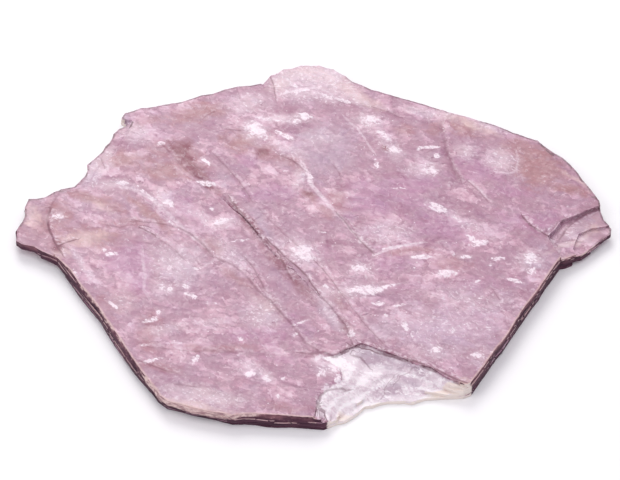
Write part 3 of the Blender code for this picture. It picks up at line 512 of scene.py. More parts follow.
def torn_layers(points, size, stretch, turn, levels, layer):
    """Contours of slow noise, read as torn sheets. Each point gets the number of the sheet that lies on top
    there, and how near it is to its torn edge: 0 where the sheet starts and 1 just before it ends."""
    along, across = turned(points, 0, 0, turn)
    places = zip(along / (size * stretch), across / size)
    heights = [noise.fractal(Vector((u, v, layer)), 1.0, 2.2, 3) for u, v in places]
    return np.divmod(np.array(heights) * levels, 1.0)


# %% Faces on the outside and on the steps
LOOK_OUT = 0.9
HIGH_ABOVE = 9
STEEP = 0.75


def points_of(chosen):
    """Which points the chosen faces have."""
    touched = np.zeros(len(points), bool)
    touched[corner_points[chosen].ravel()] = True
    return touched


points = read(plate.data.vertices, "co", 3) / MM
corner_points = read(plate.data.loops, "vertex_index", 1, int).reshape(-1, 3)
facings = read(plate.data.polygons, "normal", 3)
middles = read(plate.data.polygons, "center", 3)
is_side = np.abs(facings[:, 2]) < STEEP
is_outside = np.zeros(len(is_side), bool)
for index in np.flatnonzero(is_side):
    outward = Vector((facings[index, 0], facings[index, 1], 0)).normalized()
    ahead = Vector(middles[index]) + outward * LOOK_OUT * MM
    above = Vector((ahead.x, ahead.y, HIGH_ABOVE * MM))
    is_outside[index] = not plate.ray_cast(above, Vector((0, 0, -1)))[0]
side_points = points_of(is_outside)
print("side faces:", int(is_side.sum()), "of which on the outside:", int(is_outside.sum()))


def tree_of(chosen, places):
    """A search tree of the chosen points, which finds the one nearest to a place."""
    tree = kdtree.KDTree(int(chosen.sum()))
    for index in np.flatnonzero(chosen):
        tree.insert(Vector(places[index]), int(index))
    tree.balance()
    return tree


def distance_to(chosen):
    """How far every point is from the nearest chosen one."""
    tree = tree_of(chosen, points)
    return np.array([tree.find(Vector(point))[2] for point in points])


# %% [markdown]
# ### Soft steps
#
# Most low steps on a split face are feathered: the sheets thin out over a millimetre and never end in a
# wall. Only the front edge, the open cleft and the steps of the right tip are still sharp. The points near
# all the other steps are smoothed, which spreads each small jump into a gentle slope.

# %% Soften the low steps
SOFT_REACH = 0.6
SHARP_REACH = 0.9
SHARP_FROM = 0.7
TOP_FROM = 1.7
TIP_LEFT, TIP_BACK = 30.0, 5.5
SOFT_TIMES = 8


def smooth_points(chosen, times):
    """Smooth the chosen points of the plate and leave all the others where they are."""
    select_only(plate)
    select_items("points", chosen)
    bpy.ops.object.mode_set(mode="EDIT")
    bpy.ops.mesh.vertices_smooth(factor=0.5, repeat=times)
    bpy.ops.object.mode_set(mode="OBJECT")


sharp_lines = [line for line in DARK_LINES if line[0] > SHARP_FROM]
from_sharp = np.abs(beside_lines(points[:, :2], sharp_lines)[0])
on_right_tip = (points[:, 0] > TIP_LEFT) & (points[:, 1] < TIP_BACK)
on_top = points[:, 2] > TOP_FROM
near_step = distance_to(points_of(is_side & ~is_outside) & on_top) < SOFT_REACH
soften = near_step & (from_sharp > SHARP_REACH) & ~on_right_tip & ~side_points & on_top
smooth_points(soften, SOFT_TIMES)
print("softened", int(soften.sum()), "points near low steps")

# %% Measure the lines and the torn layers
points = read(plate.data.vertices, "co", 3) / MM
flat_points = points[:, :2]
ragged_points = flat_points + wander(flat_points, 5.0, 0.9, 3.1) + wander(flat_points, 1.3, 0.5, 8.7)
line_points = flat_points + wander(flat_points, 1.4, 0.12, 7.3)
wide_sheet, wide_share = torn_layers(ragged_points, 9.0, 1.8, GRAIN_TURN, 4.0, 1.5)
close_share = torn_layers(flat_points, 3.6, 2.0, GRAIN_TURN, 3.5, 4.5)[1]
dark_line, dark_strength, dark_width = beside_lines(line_points, DARK_LINES)
pale_line, pale_strength, pale_width = beside_lines(line_points, PALE_LINES)
print("torn layers measured at", len(points), "points, sheets", wide_sheet.min(), "to", wide_sheet.max())

# %% [markdown]
# ## Relief of the split surface
#
# A split book of mica is never one plane. The split jumps from sheet to sheet and leaves overlapping flakes,
# like roof shingles. The relief is only hundredths of a millimetre deep, but a glossy surface shows all of
# it. Each point is lowered in proportion to its height, so the top gets the whole relief and the resting
# face none, and the walls stay closed.

# %% Relief
SWELL = 0.05
WIDE_STEP = 0.06
CLOSE_STEP = 0.04
FINE_RELIEF = 0.02
HIGHEST_RELIEF = 0.02
CRACK_DEPTH = 0.04
CRACK_REACH = 0.4
FULL_HEIGHT = 2.5


def noise_at(rows, layer):
    """Smooth noise at each row of numbers."""
    return np.array([noise.noise(Vector((row[0], row[1], row[2] + layer))) for row in rows])


relief = SWELL * noise_at(points * (0.11, 0.11, 0), 2.2) - SWELL
relief += WIDE_STEP * (wide_share - 1)
relief += CLOSE_STEP * (close_share - 1)
relief += FINE_RELIEF * noise_at(points * (1.9, 1.9, 0), 6.1)
relief -= CRACK_DEPTH * dark_strength * np.exp(-(dark_line / CRACK_REACH) ** 2)
relief = np.minimum(relief, HIGHEST_RELIEF)
print("relief between", round(relief.min(), 3), "and", round(relief.max(), 3), "mm")

# %% [markdown]
# ### Closed cracks
#
# In the solid a crack is as deep at one end as at the other. A real one opens and closes along its way, so
# the points down in a shallow one are raised towards the flat top next to them, by a share that slow noise
# sets.

# %% Closed cracks
FLAT_FROM = 0.95
CRACK_FROM = 1.0
DEEPEST_CLOSED = 0.34
MOST_CLOSED, LEAST_CLOSED = 0.85, 0.10

upward = read(plate.data.polygons, "normal", 3)[:, 2]
step_points = points_of((np.abs(upward) < STEEP) & ~is_outside)
flat_top = points_of(upward > FLAT_FROM) & ~step_points & ~side_points
on_floor = points * (1, 1, 0)
nearest_flat = tree_of(flat_top, on_floor)
in_crack = np.flatnonzero(step_points & (points[:, 2] > CRACK_FROM))
level = np.array([points[nearest_flat.find(Vector(on_floor[index]))[1], 2] for index in in_crack])
openness = np.clip(0.5 + 1.4 * noise_at(points[in_crack] * (0.22, 0.22, 0), 9.4), 0, 1)
below = np.maximum(level - points[in_crack, 2], 0)
closing = MOST_CLOSED - (MOST_CLOSED - LEAST_CLOSED) * openness
raised = np.zeros(len(points))
raised[in_crack] = below * closing * (below < DEEPEST_CLOSED)
print("points in cracks:", len(in_crack), "raised by up to", round(raised.max(), 2), "mm")

# %% [markdown]
# ### Side walls and ledge
#
# The outside of the book is a pile of broken sheets, so its wall is roughened by noise drawn out along them.
# At the front left the lower sheets are broken back, most of all at the table. The last thin sheets of the
# ledge droop, so its steps are smoothed into soft folds.

# %% Move the points
SIDE_ROUGHNESS = 0.07
BROKEN_BACK = 0.9
LEDGE_LEFT, LEDGE_RIGHT, LEDGE_BACK, LEDGE_TOP = 0.3, 19.2, -20.5, 2.1
LEDGE_TIMES = 24
RESTING = 0.05
SHADING_ANGLE = math.radians(38)

layers = noise_at(points * (0.35, 0.35, 2.6), 0.0) + 0.6 * noise_at(points * (1.6, 1.6, 1.2), 4.0)
roughness = np.where(side_points, -SIDE_ROUGHNESS * (0.4 + layers), 0)
outward = read(plate.data.vertices, "normal", 3) * (1, 1, 0)
moved = points + outward * roughness[:, None]
low_down = np.clip(1 - points[:, 2] / FULL_HEIGHT, 0, 1)
moved[:, 1] += BROKEN_BACK * np.clip(inside_places(flat_points, BROKEN_SHEETS), 0, 1) * low_down
moved[:, 2] += raised
moved[:, 2] += relief * points[:, 2] / FULL_HEIGHT
plate.data.vertices.foreach_set("co", (moved * MM).ravel())
plate.data.update()

on_ledge = (points[:, 0] > LEDGE_LEFT) & (points[:, 0] < LEDGE_RIGHT)
on_ledge &= (points[:, 1] < LEDGE_BACK) & (points[:, 2] < LEDGE_TOP)
smooth_points(on_ledge & (points[:, 2] > RESTING) & ~side_points, LEDGE_TIMES)
bpy.ops.object.shade_smooth_by_angle(angle=SHADING_ANGLE)
print("points on the ledge:", int(on_ledge.sum()))

# %% [markdown]
# ## Notes for the finishes
#
# The finishes need to know which place a point lies in, how far it is from a line or from the rim, and which
# flake it is on. Those numbers are stored on the mesh as attributes, one for each point, and the materials
# turn them into crisp or feathered edges.

# %% Attributes
RIM_FROM = 1.0
CORNER_RIGHT, CORNER_BACK = 1.7, -32.4

soft_places = {
    "pale": PALE, "rose": ROSE, "violet": VIOLET, "mauve": MAUVE, "russet": RUSSET, "cool_grey": COOL_GREY,
    "cream": CREAM_PLACES, "ledge_grey_and_shade": LEDGE_GREY_AND_SHADE, "steep_grain": STEEP_GRAIN, "bevel_highlight": BEVEL_HIGHLIGHT_PLACES,
    "bare_rim": BARE_RIM,
}
crisp_places = {"painted_fracture_shade": PAINTED_FRACTURE_SHADE, "white_flake": WHITE_FLAKES, "ledge_white": LEDGE_WHITE}
in_dark_corner = (points[:, 0] < CORNER_RIGHT) & (points[:, 1] < CORNER_BACK)

notes = {name: inside_places(ragged_points, places) for name, places in soft_places.items()}
notes |= {name: inside_places(line_points, places) for name, places in crisp_places.items()}
notes |= {
    "thin_edge": inside_places(flat_points, THIN_EDGES),
    "ledge": (on_ledge & ~in_dark_corner).astype(float),
    "from_rim": distance_to(side_points & (points[:, 2] > RIM_FROM) & ~on_ledge),
    "from_step": distance_to(step_points),
    "wide_tone": np.array([noise.cell(Vector((value * 3.7, 0.5, 0.5))) for value in wide_sheet]) - 0.5,
    "wide_share": wide_share, "close_share": close_share,
    "dark_line": dark_line, "dark_strength": dark_strength, "dark_width": dark_width,
    "pale_line": pale_line, "pale_strength": pale_strength, "pale_width": pale_width,
}
for name, values in notes.items():
    plate.data.attributes.new(name, "FLOAT", "POINT").data.foreach_set("value", values)
print("attributes:", list(notes))

# %% [markdown]
# ## Finishes
#
# The mineral is lepidolite, a lithium mica, freshly cleaved. Along the split it is smooth and pearly: light
# goes in, is scattered back by air between the sheets and comes out soft, which a little subsurface
# scattering gives. Across the sheets it is dark purple-brown, because there the eye looks along hundreds of
# coloured sheets at once. Its refractive index is about 1.56, and so is that of the fibres in the paper
# under it.

# %% Colours and the node helper
REFRACTION = 1.56


def linear(code):
    """A colour written as a web colour, turned into the linear values that the nodes use."""
    channels = [int(code[place:place + 2], 16) / 255 for place in (1, 3, 5)]
    bright = [((value + 0.055) / 1.055) ** 2.4 if value > 0.04045 else value / 12.92 for value in channels]
    return (*bright, 1.0)


def node(tree, kind, inputs=None, out=0, **settings):
    """Add one shader node and return the socket that the next node reads. Settings are the node's own
    choices, inputs are values or the sockets that feed it."""
    made = tree.nodes.new("ShaderNode" + kind)
    for name, value in settings.items():
        setattr(made, name, value)
    for name, value in (inputs or {}).items():
        if isinstance(value, bpy.types.NodeSocket):
            tree.links.new(value, made.inputs[name])
        else:
            made.inputs[name].default_value = value
    return made.outputs[out] if len(made.outputs) else made


def new_material(name, notes_it_reads):
    """An empty material, its node tree, the notes on the mesh that it reads and the place in millimetres."""
    material = bpy.data.materials.new(name)
    material.use_nodes = True
    tree = material.node_tree
    tree.nodes.clear()
    note = {each: node(tree, "Attribute", out="Fac", attribute_name=each) for each in notes_it_reads}
    coordinates = node(tree, "TexCoord", out="Object")
    place = node(tree, "VectorMath", {0: coordinates, 1: (1 / MM, 1 / MM, 1 / MM)}, operation="MULTIPLY")
    return material, tree, note, place


def finish_material(tree, inputs):
    """Close the tree with a Principled surface that has these inputs."""
    surface = node(tree, "BsdfPrincipled", {"IOR": REFRACTION, **inputs})
    node(tree, "OutputMaterial", {"Surface": surface})


# %% [markdown]
# ### Layers of colour
#
# The finishes are built in two kinds of step. One pushes a depth up and down by patterns, which makes a
# smooth edge ragged. The other lays a colour over the ground, and each of its shares says where: a share is
# a value, the two ends between which it counts, and how much shows at either end.

# %% Steps that lay the colours
def pushed(tree, depth, *pushes):
    """A depth that patterns push up and down. Each runs from 0 to 1 and moves it by up to half its amount."""
    for pattern, amount in pushes:
        centred = node(tree, "Math", {0: pattern, 1: 0.5}, operation="SUBTRACT")
        depth = node(tree, "Math", {0: centred, 1: amount, 2: depth}, operation="MULTIPLY_ADD")
    return depth


def cover(tree, *shares):
    """How much of a layer shows: its shares multiplied. Each is a ready socket, or a value with the two ends
    between which it goes smoothly from the least to the most, which are 0 and 1 if they aren't given."""
    total = None
    for share in shares:
        if isinstance(share, tuple):
            limits = dict(zip(("Value", "From Min", "From Max", "To Min", "To Max"), share))
            share = node(tree, "MapRange", limits, interpolation_type="SMOOTHSTEP")
        total = share if total is None else node(tree, "Math", {0: total, 1: share}, operation="MULTIPLY")
    return total


def lay(tree, ground, colour, *shares):
    """Lay a colour over the ground, where all its shares let it show."""
    return node(tree, "Mix", {0: cover(tree, *shares), 6: ground, 7: colour}, 2, data_type="RGBA")


# %% [markdown]
# ### The split face
#
# The ground is a cloudy lilac that follows the flakes of the relief, paler where a flake has come loose.
# Over it lie the stains, smears of painted shade, the white splinters and the dark cracks from the lists
# above, painted highlights on some rims, and bright specks, painted glints where a single sheet stands up and
# catches the light.
#
# Each pattern's scale is the number of its marks in a millimetre. Most are drawn out along the grain, the
# way in which the sheets tear. The finest real marks are a tenth of a millimetre wide, too fine to show from
# here, so dust and crumbs are drawn at about a third of a millimetre.

# %% Split face: the patterns
DRIFT = 1.4
GRAINS = {"main": (GRAIN_TURN, 1.5), "steep": (-53, 3.8), "flat": (-14, 3.2)}

face_notes = [name for name in notes if name not in ("bevel_highlight", "thin_edge")]
face, tree, note, place = new_material("split_mica_face", face_notes)
drift = node(tree, "TexNoise", {"Vector": place, "Scale": 0.6, "Detail": 3.0, "Roughness": 0.6}, "Color")
drift = node(tree, "VectorMath", {0: drift, 1: (0.5, 0.5, 0.5)}, operation="SUBTRACT")
drift = node(tree, "VectorMath", {0: drift, "Scale": DRIFT}, operation="SCALE")
ragged = node(tree, "VectorMath", {0: place, 1: drift}, operation="ADD")
along = {}
for name, (turn, stretch) in GRAINS.items():
    turned = {"Vector": ragged, "Rotation": (0, 0, math.radians(turn)), "Scale": (stretch, 1, 1)}
    along[name] = node(tree, "Mapping", turned, vector_type="TEXTURE")
grain = along["main"]

cloud, warm_cloud, mottle, feather, dust, crumb, torn, small_torn, steep_silk, flat_silk = (
    node(tree, "TexNoise", {"Vector": where, "Scale": marks, "Detail": detail, "Roughness": roughness})
    for where, marks, detail, roughness in (
        (place, 0.16, 6.0, 0.62),           # clouds, 6 mm wide
        (ragged, 0.3, 4.0, 0.6),            # warm and cool patches, 3 mm
        (place, 1.0, 4.0, 0.7),             # mottling, 1 mm
        (grain, 0.8, 4.0, 0.5),             # feathered streaks, 1.2 mm
        (grain, 2.4, 3.0, 0.6),             # dust, 0.4 mm
        (grain, 3.0, 2.0, 0.5),             # crumbs, 0.3 mm
        (grain, 0.34, 3.0, 0.5),            # torn sheets, 3 mm
        (grain, 0.9, 3.0, 0.5),             # small torn sheets, 1.1 mm
        (along["steep"], 1.7, 4.0, 0.5),    # silky streaks, 0.6 mm wide
        (along["flat"], 1.7, 4.0, 0.5),     # the same, at a lower turn
    )
)
steepness = cover(tree, (note["steep_grain"], 0.0, 0.3))
silk = node(tree, "Mix", {0: steepness, 2: flat_silk, 3: steep_silk}, data_type="FLOAT")
print("split face patterns:", len(tree.nodes), "nodes")

# %% [markdown]
# #### Torn sheets
#
# The edges of torn sheets are where slow noise passes whole numbers, as on a map with contour lines. Each
# sheet then gets a tone and a hue of its own by chance. The smallest chips have straight sides and all face
# the light a little differently, so they are Voronoi cells with a random value each.

# %% Split face: torn sheets
TORN_LEVELS = 8.0
SMALL_LEVELS = 6.0

torn = node(tree, "Math", {0: torn, 1: TORN_LEVELS}, operation="MULTIPLY")
torn_share = node(tree, "Math", {0: torn}, operation="FRACT")
torn_sheet = node(tree, "Math", {0: torn}, operation="FLOOR")
sheet_chance = node(tree, "TexWhiteNoise", {"W": torn_sheet}, "Color", noise_dimensions="1D")
sheet_tone, sheet_hue = (node(tree, "SeparateColor", {"Color": sheet_chance}, channel) for channel in (0, 1))
small_share = node(tree, "Math", {0: small_torn, 1: SMALL_LEVELS}, operation="MULTIPLY")
small_share = node(tree, "Math", {0: small_share}, operation="FRACT")
cells = []
for marks, channel in ((0.42, 0), (1.0, 0), (1.7, 1)):
    chance = node(tree, "TexVoronoi", {"Vector": grain, "Scale": marks}, "Color")
    cells.append(node(tree, "SeparateColor", {"Color": chance}, channel))
wide_cell, close_cell, chip = cells

tone = node(tree, "Math", {0: note["wide_tone"], 1: 0.24, 2: 0.36}, operation="MULTIPLY_ADD")
tone = pushed(
    tree, tone, (note["wide_share"], 0.20), (note["close_share"], 0.16), (cloud, 0.95), (feather, 0.75),
    (silk, 0.52), (torn_share, 0.12), (sheet_tone, 0.26), (small_share, 0.05), (mottle, 0.60),
    (wide_cell, 0.36), (close_cell, 0.34),
)
print("with torn sheets:", len(tree.nodes), "nodes")

# %% Split face: ground, stains and painted shade
DEEP_LILAC = linear("#A67B91")
LILAC = linear("#C197AB")
PALE_LILAC = linear("#D8BAC9")
WARM_CAST = (1.0, 0.955, 0.935, 1.0)
COOL_CAST = (0.955, 0.96, 1.0, 1.0)
STAINS_AND_PAINTED_SHADE = (
    # note, colour, depths where it starts and is full, most that shows, how streaky its edge is
    ("cool_grey", "#AE95A9", -0.2, 0.5, 0.60, 0.0),
    ("violet", "#AB7799", -0.2, 0.6, 0.68, 0.0),
    ("rose", "#A26E78", -0.2, 0.6, 0.66, 0.3),
    ("russet", "#A97A7B", -0.3, 0.7, 0.5, 0.3),
    ("mauve", "#996580", -0.1, 0.35, 0.62, 0.0),
    ("cream", "#DFC6C2", -0.3, 0.6, 0.6, 0.0),
    ("pale", "#D8C5CF", -0.2, 0.7, 0.56, 0.0),
    # painted shade where the sheets bend along the fractures
    ("painted_fracture_shade", "#7C3247", -0.4, 0.7, 0.84, 0.6),
)

ground = lay(tree, DEEP_LILAC, LILAC, (tone, 0.1, 0.5))
ground = lay(tree, ground, PALE_LILAC, (tone, 0.4, 0.85))
rough_edge = pushed(tree, 0.0, (feather, 1.1), (silk, 0.5), (small_torn, 0.7))
for name, colour, start, full, most, streaks in STAINS_AND_PAINTED_SHADE:
    depth = node(tree, "Math", {0: note[name], 1: rough_edge}, operation="ADD")
    if streaks:
        depth = pushed(tree, depth, (silk, streaks))
    ground = lay(tree, ground, linear(colour), (depth, start, full, 0.0, most))
warmth = pushed(tree, warm_cloud, (sheet_hue, 0.4))
cast = lay(tree, COOL_CAST, WARM_CAST, (warmth, 0.2, 0.8))
ground = node(tree, "Mix", {0: 1.0, 6: ground, 7: cast}, 2, data_type="RGBA", blend_type="MULTIPLY")
fineness = pushed(tree, 1.0, (dust, 0.42), (silk, 0.28))
ground = node(tree, "VectorMath", {0: ground, "Scale": fineness}, operation="SCALE")
print("with stains:", len(tree.nodes), "nodes")

# %% Split face: white where sheets have parted, and painted highlights
PEARL_WHITE_AND_HIGHLIGHT = linear("#DFCBD5")
SPLINTER_WHITE_AND_GLINT = linear("#EBDDE5")

patchy = cover(tree, (dust, 0.42, 0.62))
halo = pushed(tree, note["white_flake"], (feather, 0.8))
broken = pushed(tree, note["white_flake"], (chip, 0.6), (dust, 1.0), (crumb, 0.5))
for colour, *shares in (
    (SPLINTER_WHITE_AND_GLINT, (crumb, 0.57, 0.64), (note["pale"], -0.2, 0.5, 0.05, 0.55)),   # crumbs on pale places
    # partly white splinters, partly painted highlights on the rims of the torn sheets and of the relief
    (PEARL_WHITE_AND_HIGHLIGHT, (torn_share, 0.82, 0.98, 0.0, 0.34), patchy),                     # rims of torn sheets
    (PEARL_WHITE_AND_HIGHLIGHT, (note["close_share"], 0.7, 1.0, 0.0, 0.22), patchy),              # rims in the relief
    (SPLINTER_WHITE_AND_GLINT, (silk, 0.67, 0.74, 0.0, 0.3)),                                 # silky streaks
    (PEARL_WHITE_AND_HIGHLIGHT, (halo, -0.4, 0.4, 0.0, 0.18)),                                    # round the white flakes
    (SPLINTER_WHITE_AND_GLINT, (broken, 0.05, 0.4), (crumb, 0.36, 0.52, 0.32, 0.9)),          # the white flakes
):
    ground = lay(tree, ground, colour, *shares)
print("with white:", len(tree.nodes), "nodes")

# %% [markdown]
# #### Lines
#
# A dark line has three parts: a wide faint smudge, which is painted shade along the crack, the crack
# itself, and on its left-hand side a pale lip, which is a painted highlight on the lit side of the step. The
# smudge and the crack are counted in widths of the line, so that a hair and a groove are drawn by the same
# steps. The rims of the solid's own steps and flakes are a little white too, partly white splinters and
# partly a painted highlight.

# %% Split face: lines
CRACK_BROWN = linear("#6A384A")
PAINTED_SHADE_BROWN = linear("#8C4F67")

away = {}
for kind in ("dark", "pale"):
    distance = node(tree, "Math", {0: note[kind + "_line"]}, operation="ABSOLUTE")
    away[kind] = node(tree, "Math", {0: distance, 1: note[kind + "_width"]}, operation="DIVIDE")
beside, strong = note["dark_line"], note["dark_strength"]
crack = cover(tree, (away["dark"], 0.2, 0.95, 1.0, 0.0), strong, (feather, 0.3, 0.55, 0.55, 0.95))
for colour, *shares in (
    (PEARL_WHITE_AND_HIGHLIGHT, (away["pale"], 0.25, 0.85, 1.0, 0.0), note["pale_strength"], (crumb, 0.35, 0.6, 0.4, 1.0)),
    # painted shade: a wide brown smudge along each crack
    (PAINTED_SHADE_BROWN, (away["dark"], 0.2, 4.0, 1.0, 0.0), strong, (feather, 0.3, 0.7, 0.15, 0.7)),
    (CRACK_BROWN, crack),
    # painted highlight: a pale lip on the lit side of each step
    (PEARL_WHITE_AND_HIGHLIGHT, (beside, 0.12, 0.3), (beside, 0.4, 0.85, 0.75, 0.0), strong, (crumb, 0.42, 0.58)),
    # partly white splinters, partly a painted highlight on the rims of the solid's steps
    (PEARL_WHITE_AND_HIGHLIGHT, (note["from_step"], 0.0, 0.25, 0.35, 0.0), patchy),
):
    ground = lay(tree, ground, colour, *shares)
print("with lines:", len(tree.nodes), "nodes")

# %% [markdown]
# #### Ledge, specks and rims
#
# On the ledge so few sheets are left that they look white, with grey and cream clouds and white crumbs; the
# grey is partly painted shade below the front edge. Bright specks, painted glints, are small discs in the
# middle of some Voronoi cells. Along the front the top sheets are bevelled, so the rim is cream, partly pale
# sheets and partly a painted highlight, and along the back the dark edge of the book shows as a thin broken
# line.

# %% Split face: ledge
LEDGE_LILAC = linear("#E3D6DD")
LEDGE_WHITE_SHEETS = linear("#F8F1F4")
LEDGE_CREAM = linear("#F1E2D6")
LEDGE_SHADE = linear("#A890A2")

grey_and_shade_depth = pushed(tree, note["ledge_grey_and_shade"], (silk, 1.2), (mottle, 1.6), (feather, 1.4))
white_depth = pushed(tree, note["ledge_white"], (dust, 1.6), (crumb, 1.2), (mottle, 0.8))
cream_depth = pushed(tree, note["cream"], (feather, 0.8))
thin_sheets = LEDGE_LILAC
for colour, *shares in (
    # grey clouds, partly painted shade below the front edge
    (LEDGE_SHADE, (grey_and_shade_depth, -0.4, 0.6, 0.0, 0.75)),
    (LEDGE_WHITE_SHEETS, (white_depth, -0.1, 0.4, 0.0, 0.9)),
    (LEDGE_WHITE_SHEETS, (silk, 0.56, 0.68, 0.0, 0.5)),
    (LEDGE_WHITE_SHEETS, (crumb, 0.6, 0.68, 0.0, 0.6)),
    (LEDGE_CREAM, (cream_depth, -0.1, 0.5, 0.0, 0.9)),
    (CRACK_BROWN, crack),
):
    thin_sheets = lay(tree, thin_sheets, colour, *shares)
from_break = pushed(tree, note["from_step"], (mottle, 1.2), (crumb, 0.8))
ground = lay(tree, ground, thin_sheets, note["ledge"], (from_break, -0.1, 0.5, 0.68, 0.95))
print("with the ledge:", len(tree.nodes), "nodes")

# %% Split face: painted glints and rims
FRONT_RIM_CREAM_HIGHLIGHT = linear("#CDAEA4")
BACK_LINE = linear("#64434D")

chance = node(tree, "TexVoronoi", {"Vector": place, "Scale": 1.9}, "Color")
from_middle = chance.node.outputs["Distance"]
chance = node(tree, "SeparateColor", {"Color": chance}, 1)
speck_size = cover(tree, (chance, 0.72, 1.0, 0.0, 0.2))
painted_glint_specks = node(tree, "Math", {0: from_middle, 1: speck_size}, operation="LESS_THAN")
north = node(tree, "SeparateXYZ", {"Vector": place}, "Y")
for colour, *shares in (
    # painted glints: small bright specks
    (SPLINTER_WHITE_AND_GLINT, painted_glint_specks, (cloud, 0.42, 0.62, 0.1, 0.8)),
    # partly pale bevelled sheets, partly a painted highlight along the front rim
    (FRONT_RIM_CREAM_HIGHLIGHT, (note["from_rim"], 0.05, 0.35, 0.55, 0.0), (north, -6.0, -2.0, 1.0, 0.0)),
    (BACK_LINE, (note["from_rim"], 0.16, 0.36, 0.85, 0.0), (north, -4.0, 0.0),
     (mottle, 0.4, 0.56, 0.25, 1.0), (note["bare_rim"], -0.1, 0.3, 1.0, 0.15)),
):
    ground = lay(tree, ground, colour, *shares)
print("with rims:", len(tree.nodes), "nodes")

# %% Split face: gloss and relief
SCATTER_DEPTH = 0.8 * MM
BUMP_DEPTH = 0.16 * MM

height = node(tree, "Math", {0: dust, 1: 0.2}, operation="MULTIPLY")
height = pushed(
    tree, height, (feather, 0.4), (silk, 0.3), (torn_share, 0.1), (mottle, 0.3), (wide_cell, 0.2),
    (close_cell, 0.2),
)
bump = node(tree, "Bump", {"Height": height, "Strength": 0.85, "Distance": BUMP_DEPTH})
finish_material(tree, {
    "Base Color": ground, "Roughness": cover(tree, (feather, 0.3, 0.7, 0.36, 0.6)), "Normal": bump,
    "Subsurface Weight": 0.2, "Subsurface Radius": (1.0, 0.7, 0.85), "Subsurface Scale": SCATTER_DEPTH,
    "Coat Weight": 0.12, "Coat Roughness": 0.28,
})
print("split face:", len(tree.nodes), "nodes")

# %% [markdown]
# ### The edge of the book
#
# Seen from the side, the sheets are fine lines one over the other, nearly black where they are tight and
# reddish where light gets in between. Towards the top the wall is painted a lighter rose, a painted highlight
# on the upper sheets. Here and there a broken one has a painted pink glint, and where the top sheets are
# bevelled their edge is cream, partly pale thin sheets and partly a painted highlight. Where few sheets are
# left, as on the ledge, the edge stays pale. The real sheets are far too fine to show, so the lines are drawn
# about a sixth of a millimetre apart.

# %% Edge of the book
DARK_BOOK = linear("#35162A")
PLUM_BOOK = linear("#5C3346")
ROSE_BOOK_PAINTED_LIGHT = linear("#9C6C74")
PAINTED_PINK_GLINT = linear("#D9B3B8")
BEVEL_HIGHLIGHT_PALE_CREAM = linear("#F0D6CF")
BEVEL_HIGHLIGHT_DUSKY_CREAM = linear("#B38C91")
THIN_SHEETS = linear("#F1E5DD")
SHEET_MARKS = (0.3, 0.3, 6.0)
CHIP_MARKS = (1.1, 1.1, 2.6)
BEVEL_FOOT, BEVEL_DROP = 2.25, 1.4
EDGE_BUMP_DEPTH = 0.15 * MM

edge, tree, note, place = new_material("book_of_mica_edge", ("bevel_highlight", "thin_edge", "ledge"))
layers = node(tree, "VectorMath", {0: place, 1: SHEET_MARKS}, operation="MULTIPLY")
sheet_line = node(tree, "TexNoise", {"Vector": layers, "Scale": 1.0, "Detail": 4.0, "Roughness": 0.6})
chips = node(tree, "VectorMath", {0: place, 1: CHIP_MARKS}, operation="MULTIPLY")
chip = node(tree, "TexNoise", {"Vector": chips, "Scale": 1.0, "Detail": 4.0, "Roughness": 0.65})
slow_chip = node(tree, "TexNoise", {"Vector": chips, "Scale": 0.25, "Detail": 2.0})
height = node(tree, "SeparateXYZ", {"Vector": place}, "Z")

painted_light_toward_top = pushed(tree, height, (chip, 2.2), (slow_chip, 1.6))
highlight_share_on_bevel = cover(tree, (note["bevel_highlight"], -0.2, 0.8))
bevel_foot = node(tree, "Math", {0: highlight_share_on_bevel, 1: -BEVEL_DROP, 2: BEVEL_FOOT}, operation="MULTIPLY_ADD")
above_highlight_foot = pushed(tree, height, (chip, 1.4))
above_highlight_foot = node(tree, "Math", {0: above_highlight_foot, 1: bevel_foot}, operation="SUBTRACT")
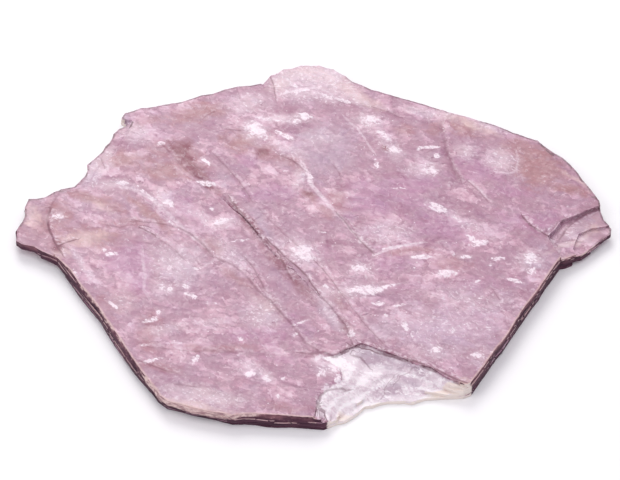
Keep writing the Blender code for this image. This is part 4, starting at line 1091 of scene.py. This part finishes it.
# the cream bevel: partly pale thin sheets, partly a painted highlight
cream = lay(tree, BEVEL_HIGHLIGHT_DUSKY_CREAM, BEVEL_HIGHLIGHT_PALE_CREAM, (chip, 0.4, 0.6))
thin = cover(tree, (note["thin_edge"], 0.0, 0.4, 0.0, 0.9))
thin = node(tree, "Math", {0: thin, 1: note["ledge"]}, operation="MAXIMUM")
side = DARK_BOOK
for colour, *shares in (
    (PLUM_BOOK, (sheet_line, 0.35, 0.65)),
    # painted light: the wall turns a lighter rose towards its top
    (ROSE_BOOK_PAINTED_LIGHT, (painted_light_toward_top, 1.3, 2.7, 0.0, 0.75)),
    # painted highlight: pink glints on broken sheets
    (PAINTED_PINK_GLINT, (chip, 0.64, 0.74, 0.0, 0.7)),
    # cream bevel, partly pale sheets and partly a painted highlight
    (cream, (above_highlight_foot, 0.0, 0.5, 0.0, 0.85)),
    (THIN_SHEETS, thin),
):
    side = lay(tree, side, colour, *shares)
bump = node(tree, "Bump", {"Height": sheet_line, "Strength": 0.7, "Distance": EDGE_BUMP_DEPTH})
finish_material(tree, {"Base Color": side, "Roughness": 0.5, "Specular IOR Level": 0.2, "Normal": bump})
print("edge of the book:", len(tree.nodes), "nodes")

# %% Give the faces their finish
plate.data.materials.clear()
plate.data.materials.append(face)
plate.data.materials.append(edge)
on_outside = is_outside | side_points[corner_points].all(axis=1)
plate.data.polygons.foreach_set("material_index", on_outside.astype(np.int32))
print("faces on the edge of the book:", int(on_outside.sum()))

# %% [markdown]
# ### The table
#
# A sheet of matt white paper. It is there only to catch the soft shadow.

# %% Table finish
paper = bpy.data.materials.new("white_paper")
paper.use_nodes = True
paper.node_tree.nodes.clear()
white = (TABLE_WHITE, TABLE_WHITE, TABLE_WHITE, 1.0)
finish_material(paper.node_tree, {"Base Color": white, "Roughness": 0.9, "Specular IOR Level": 0.2})
table.data.materials.append(paper)
print("materials:", [material.name for material in bpy.data.materials])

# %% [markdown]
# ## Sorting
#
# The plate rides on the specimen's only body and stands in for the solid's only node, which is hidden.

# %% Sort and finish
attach(plate, "root")
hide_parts("mica_crystal")
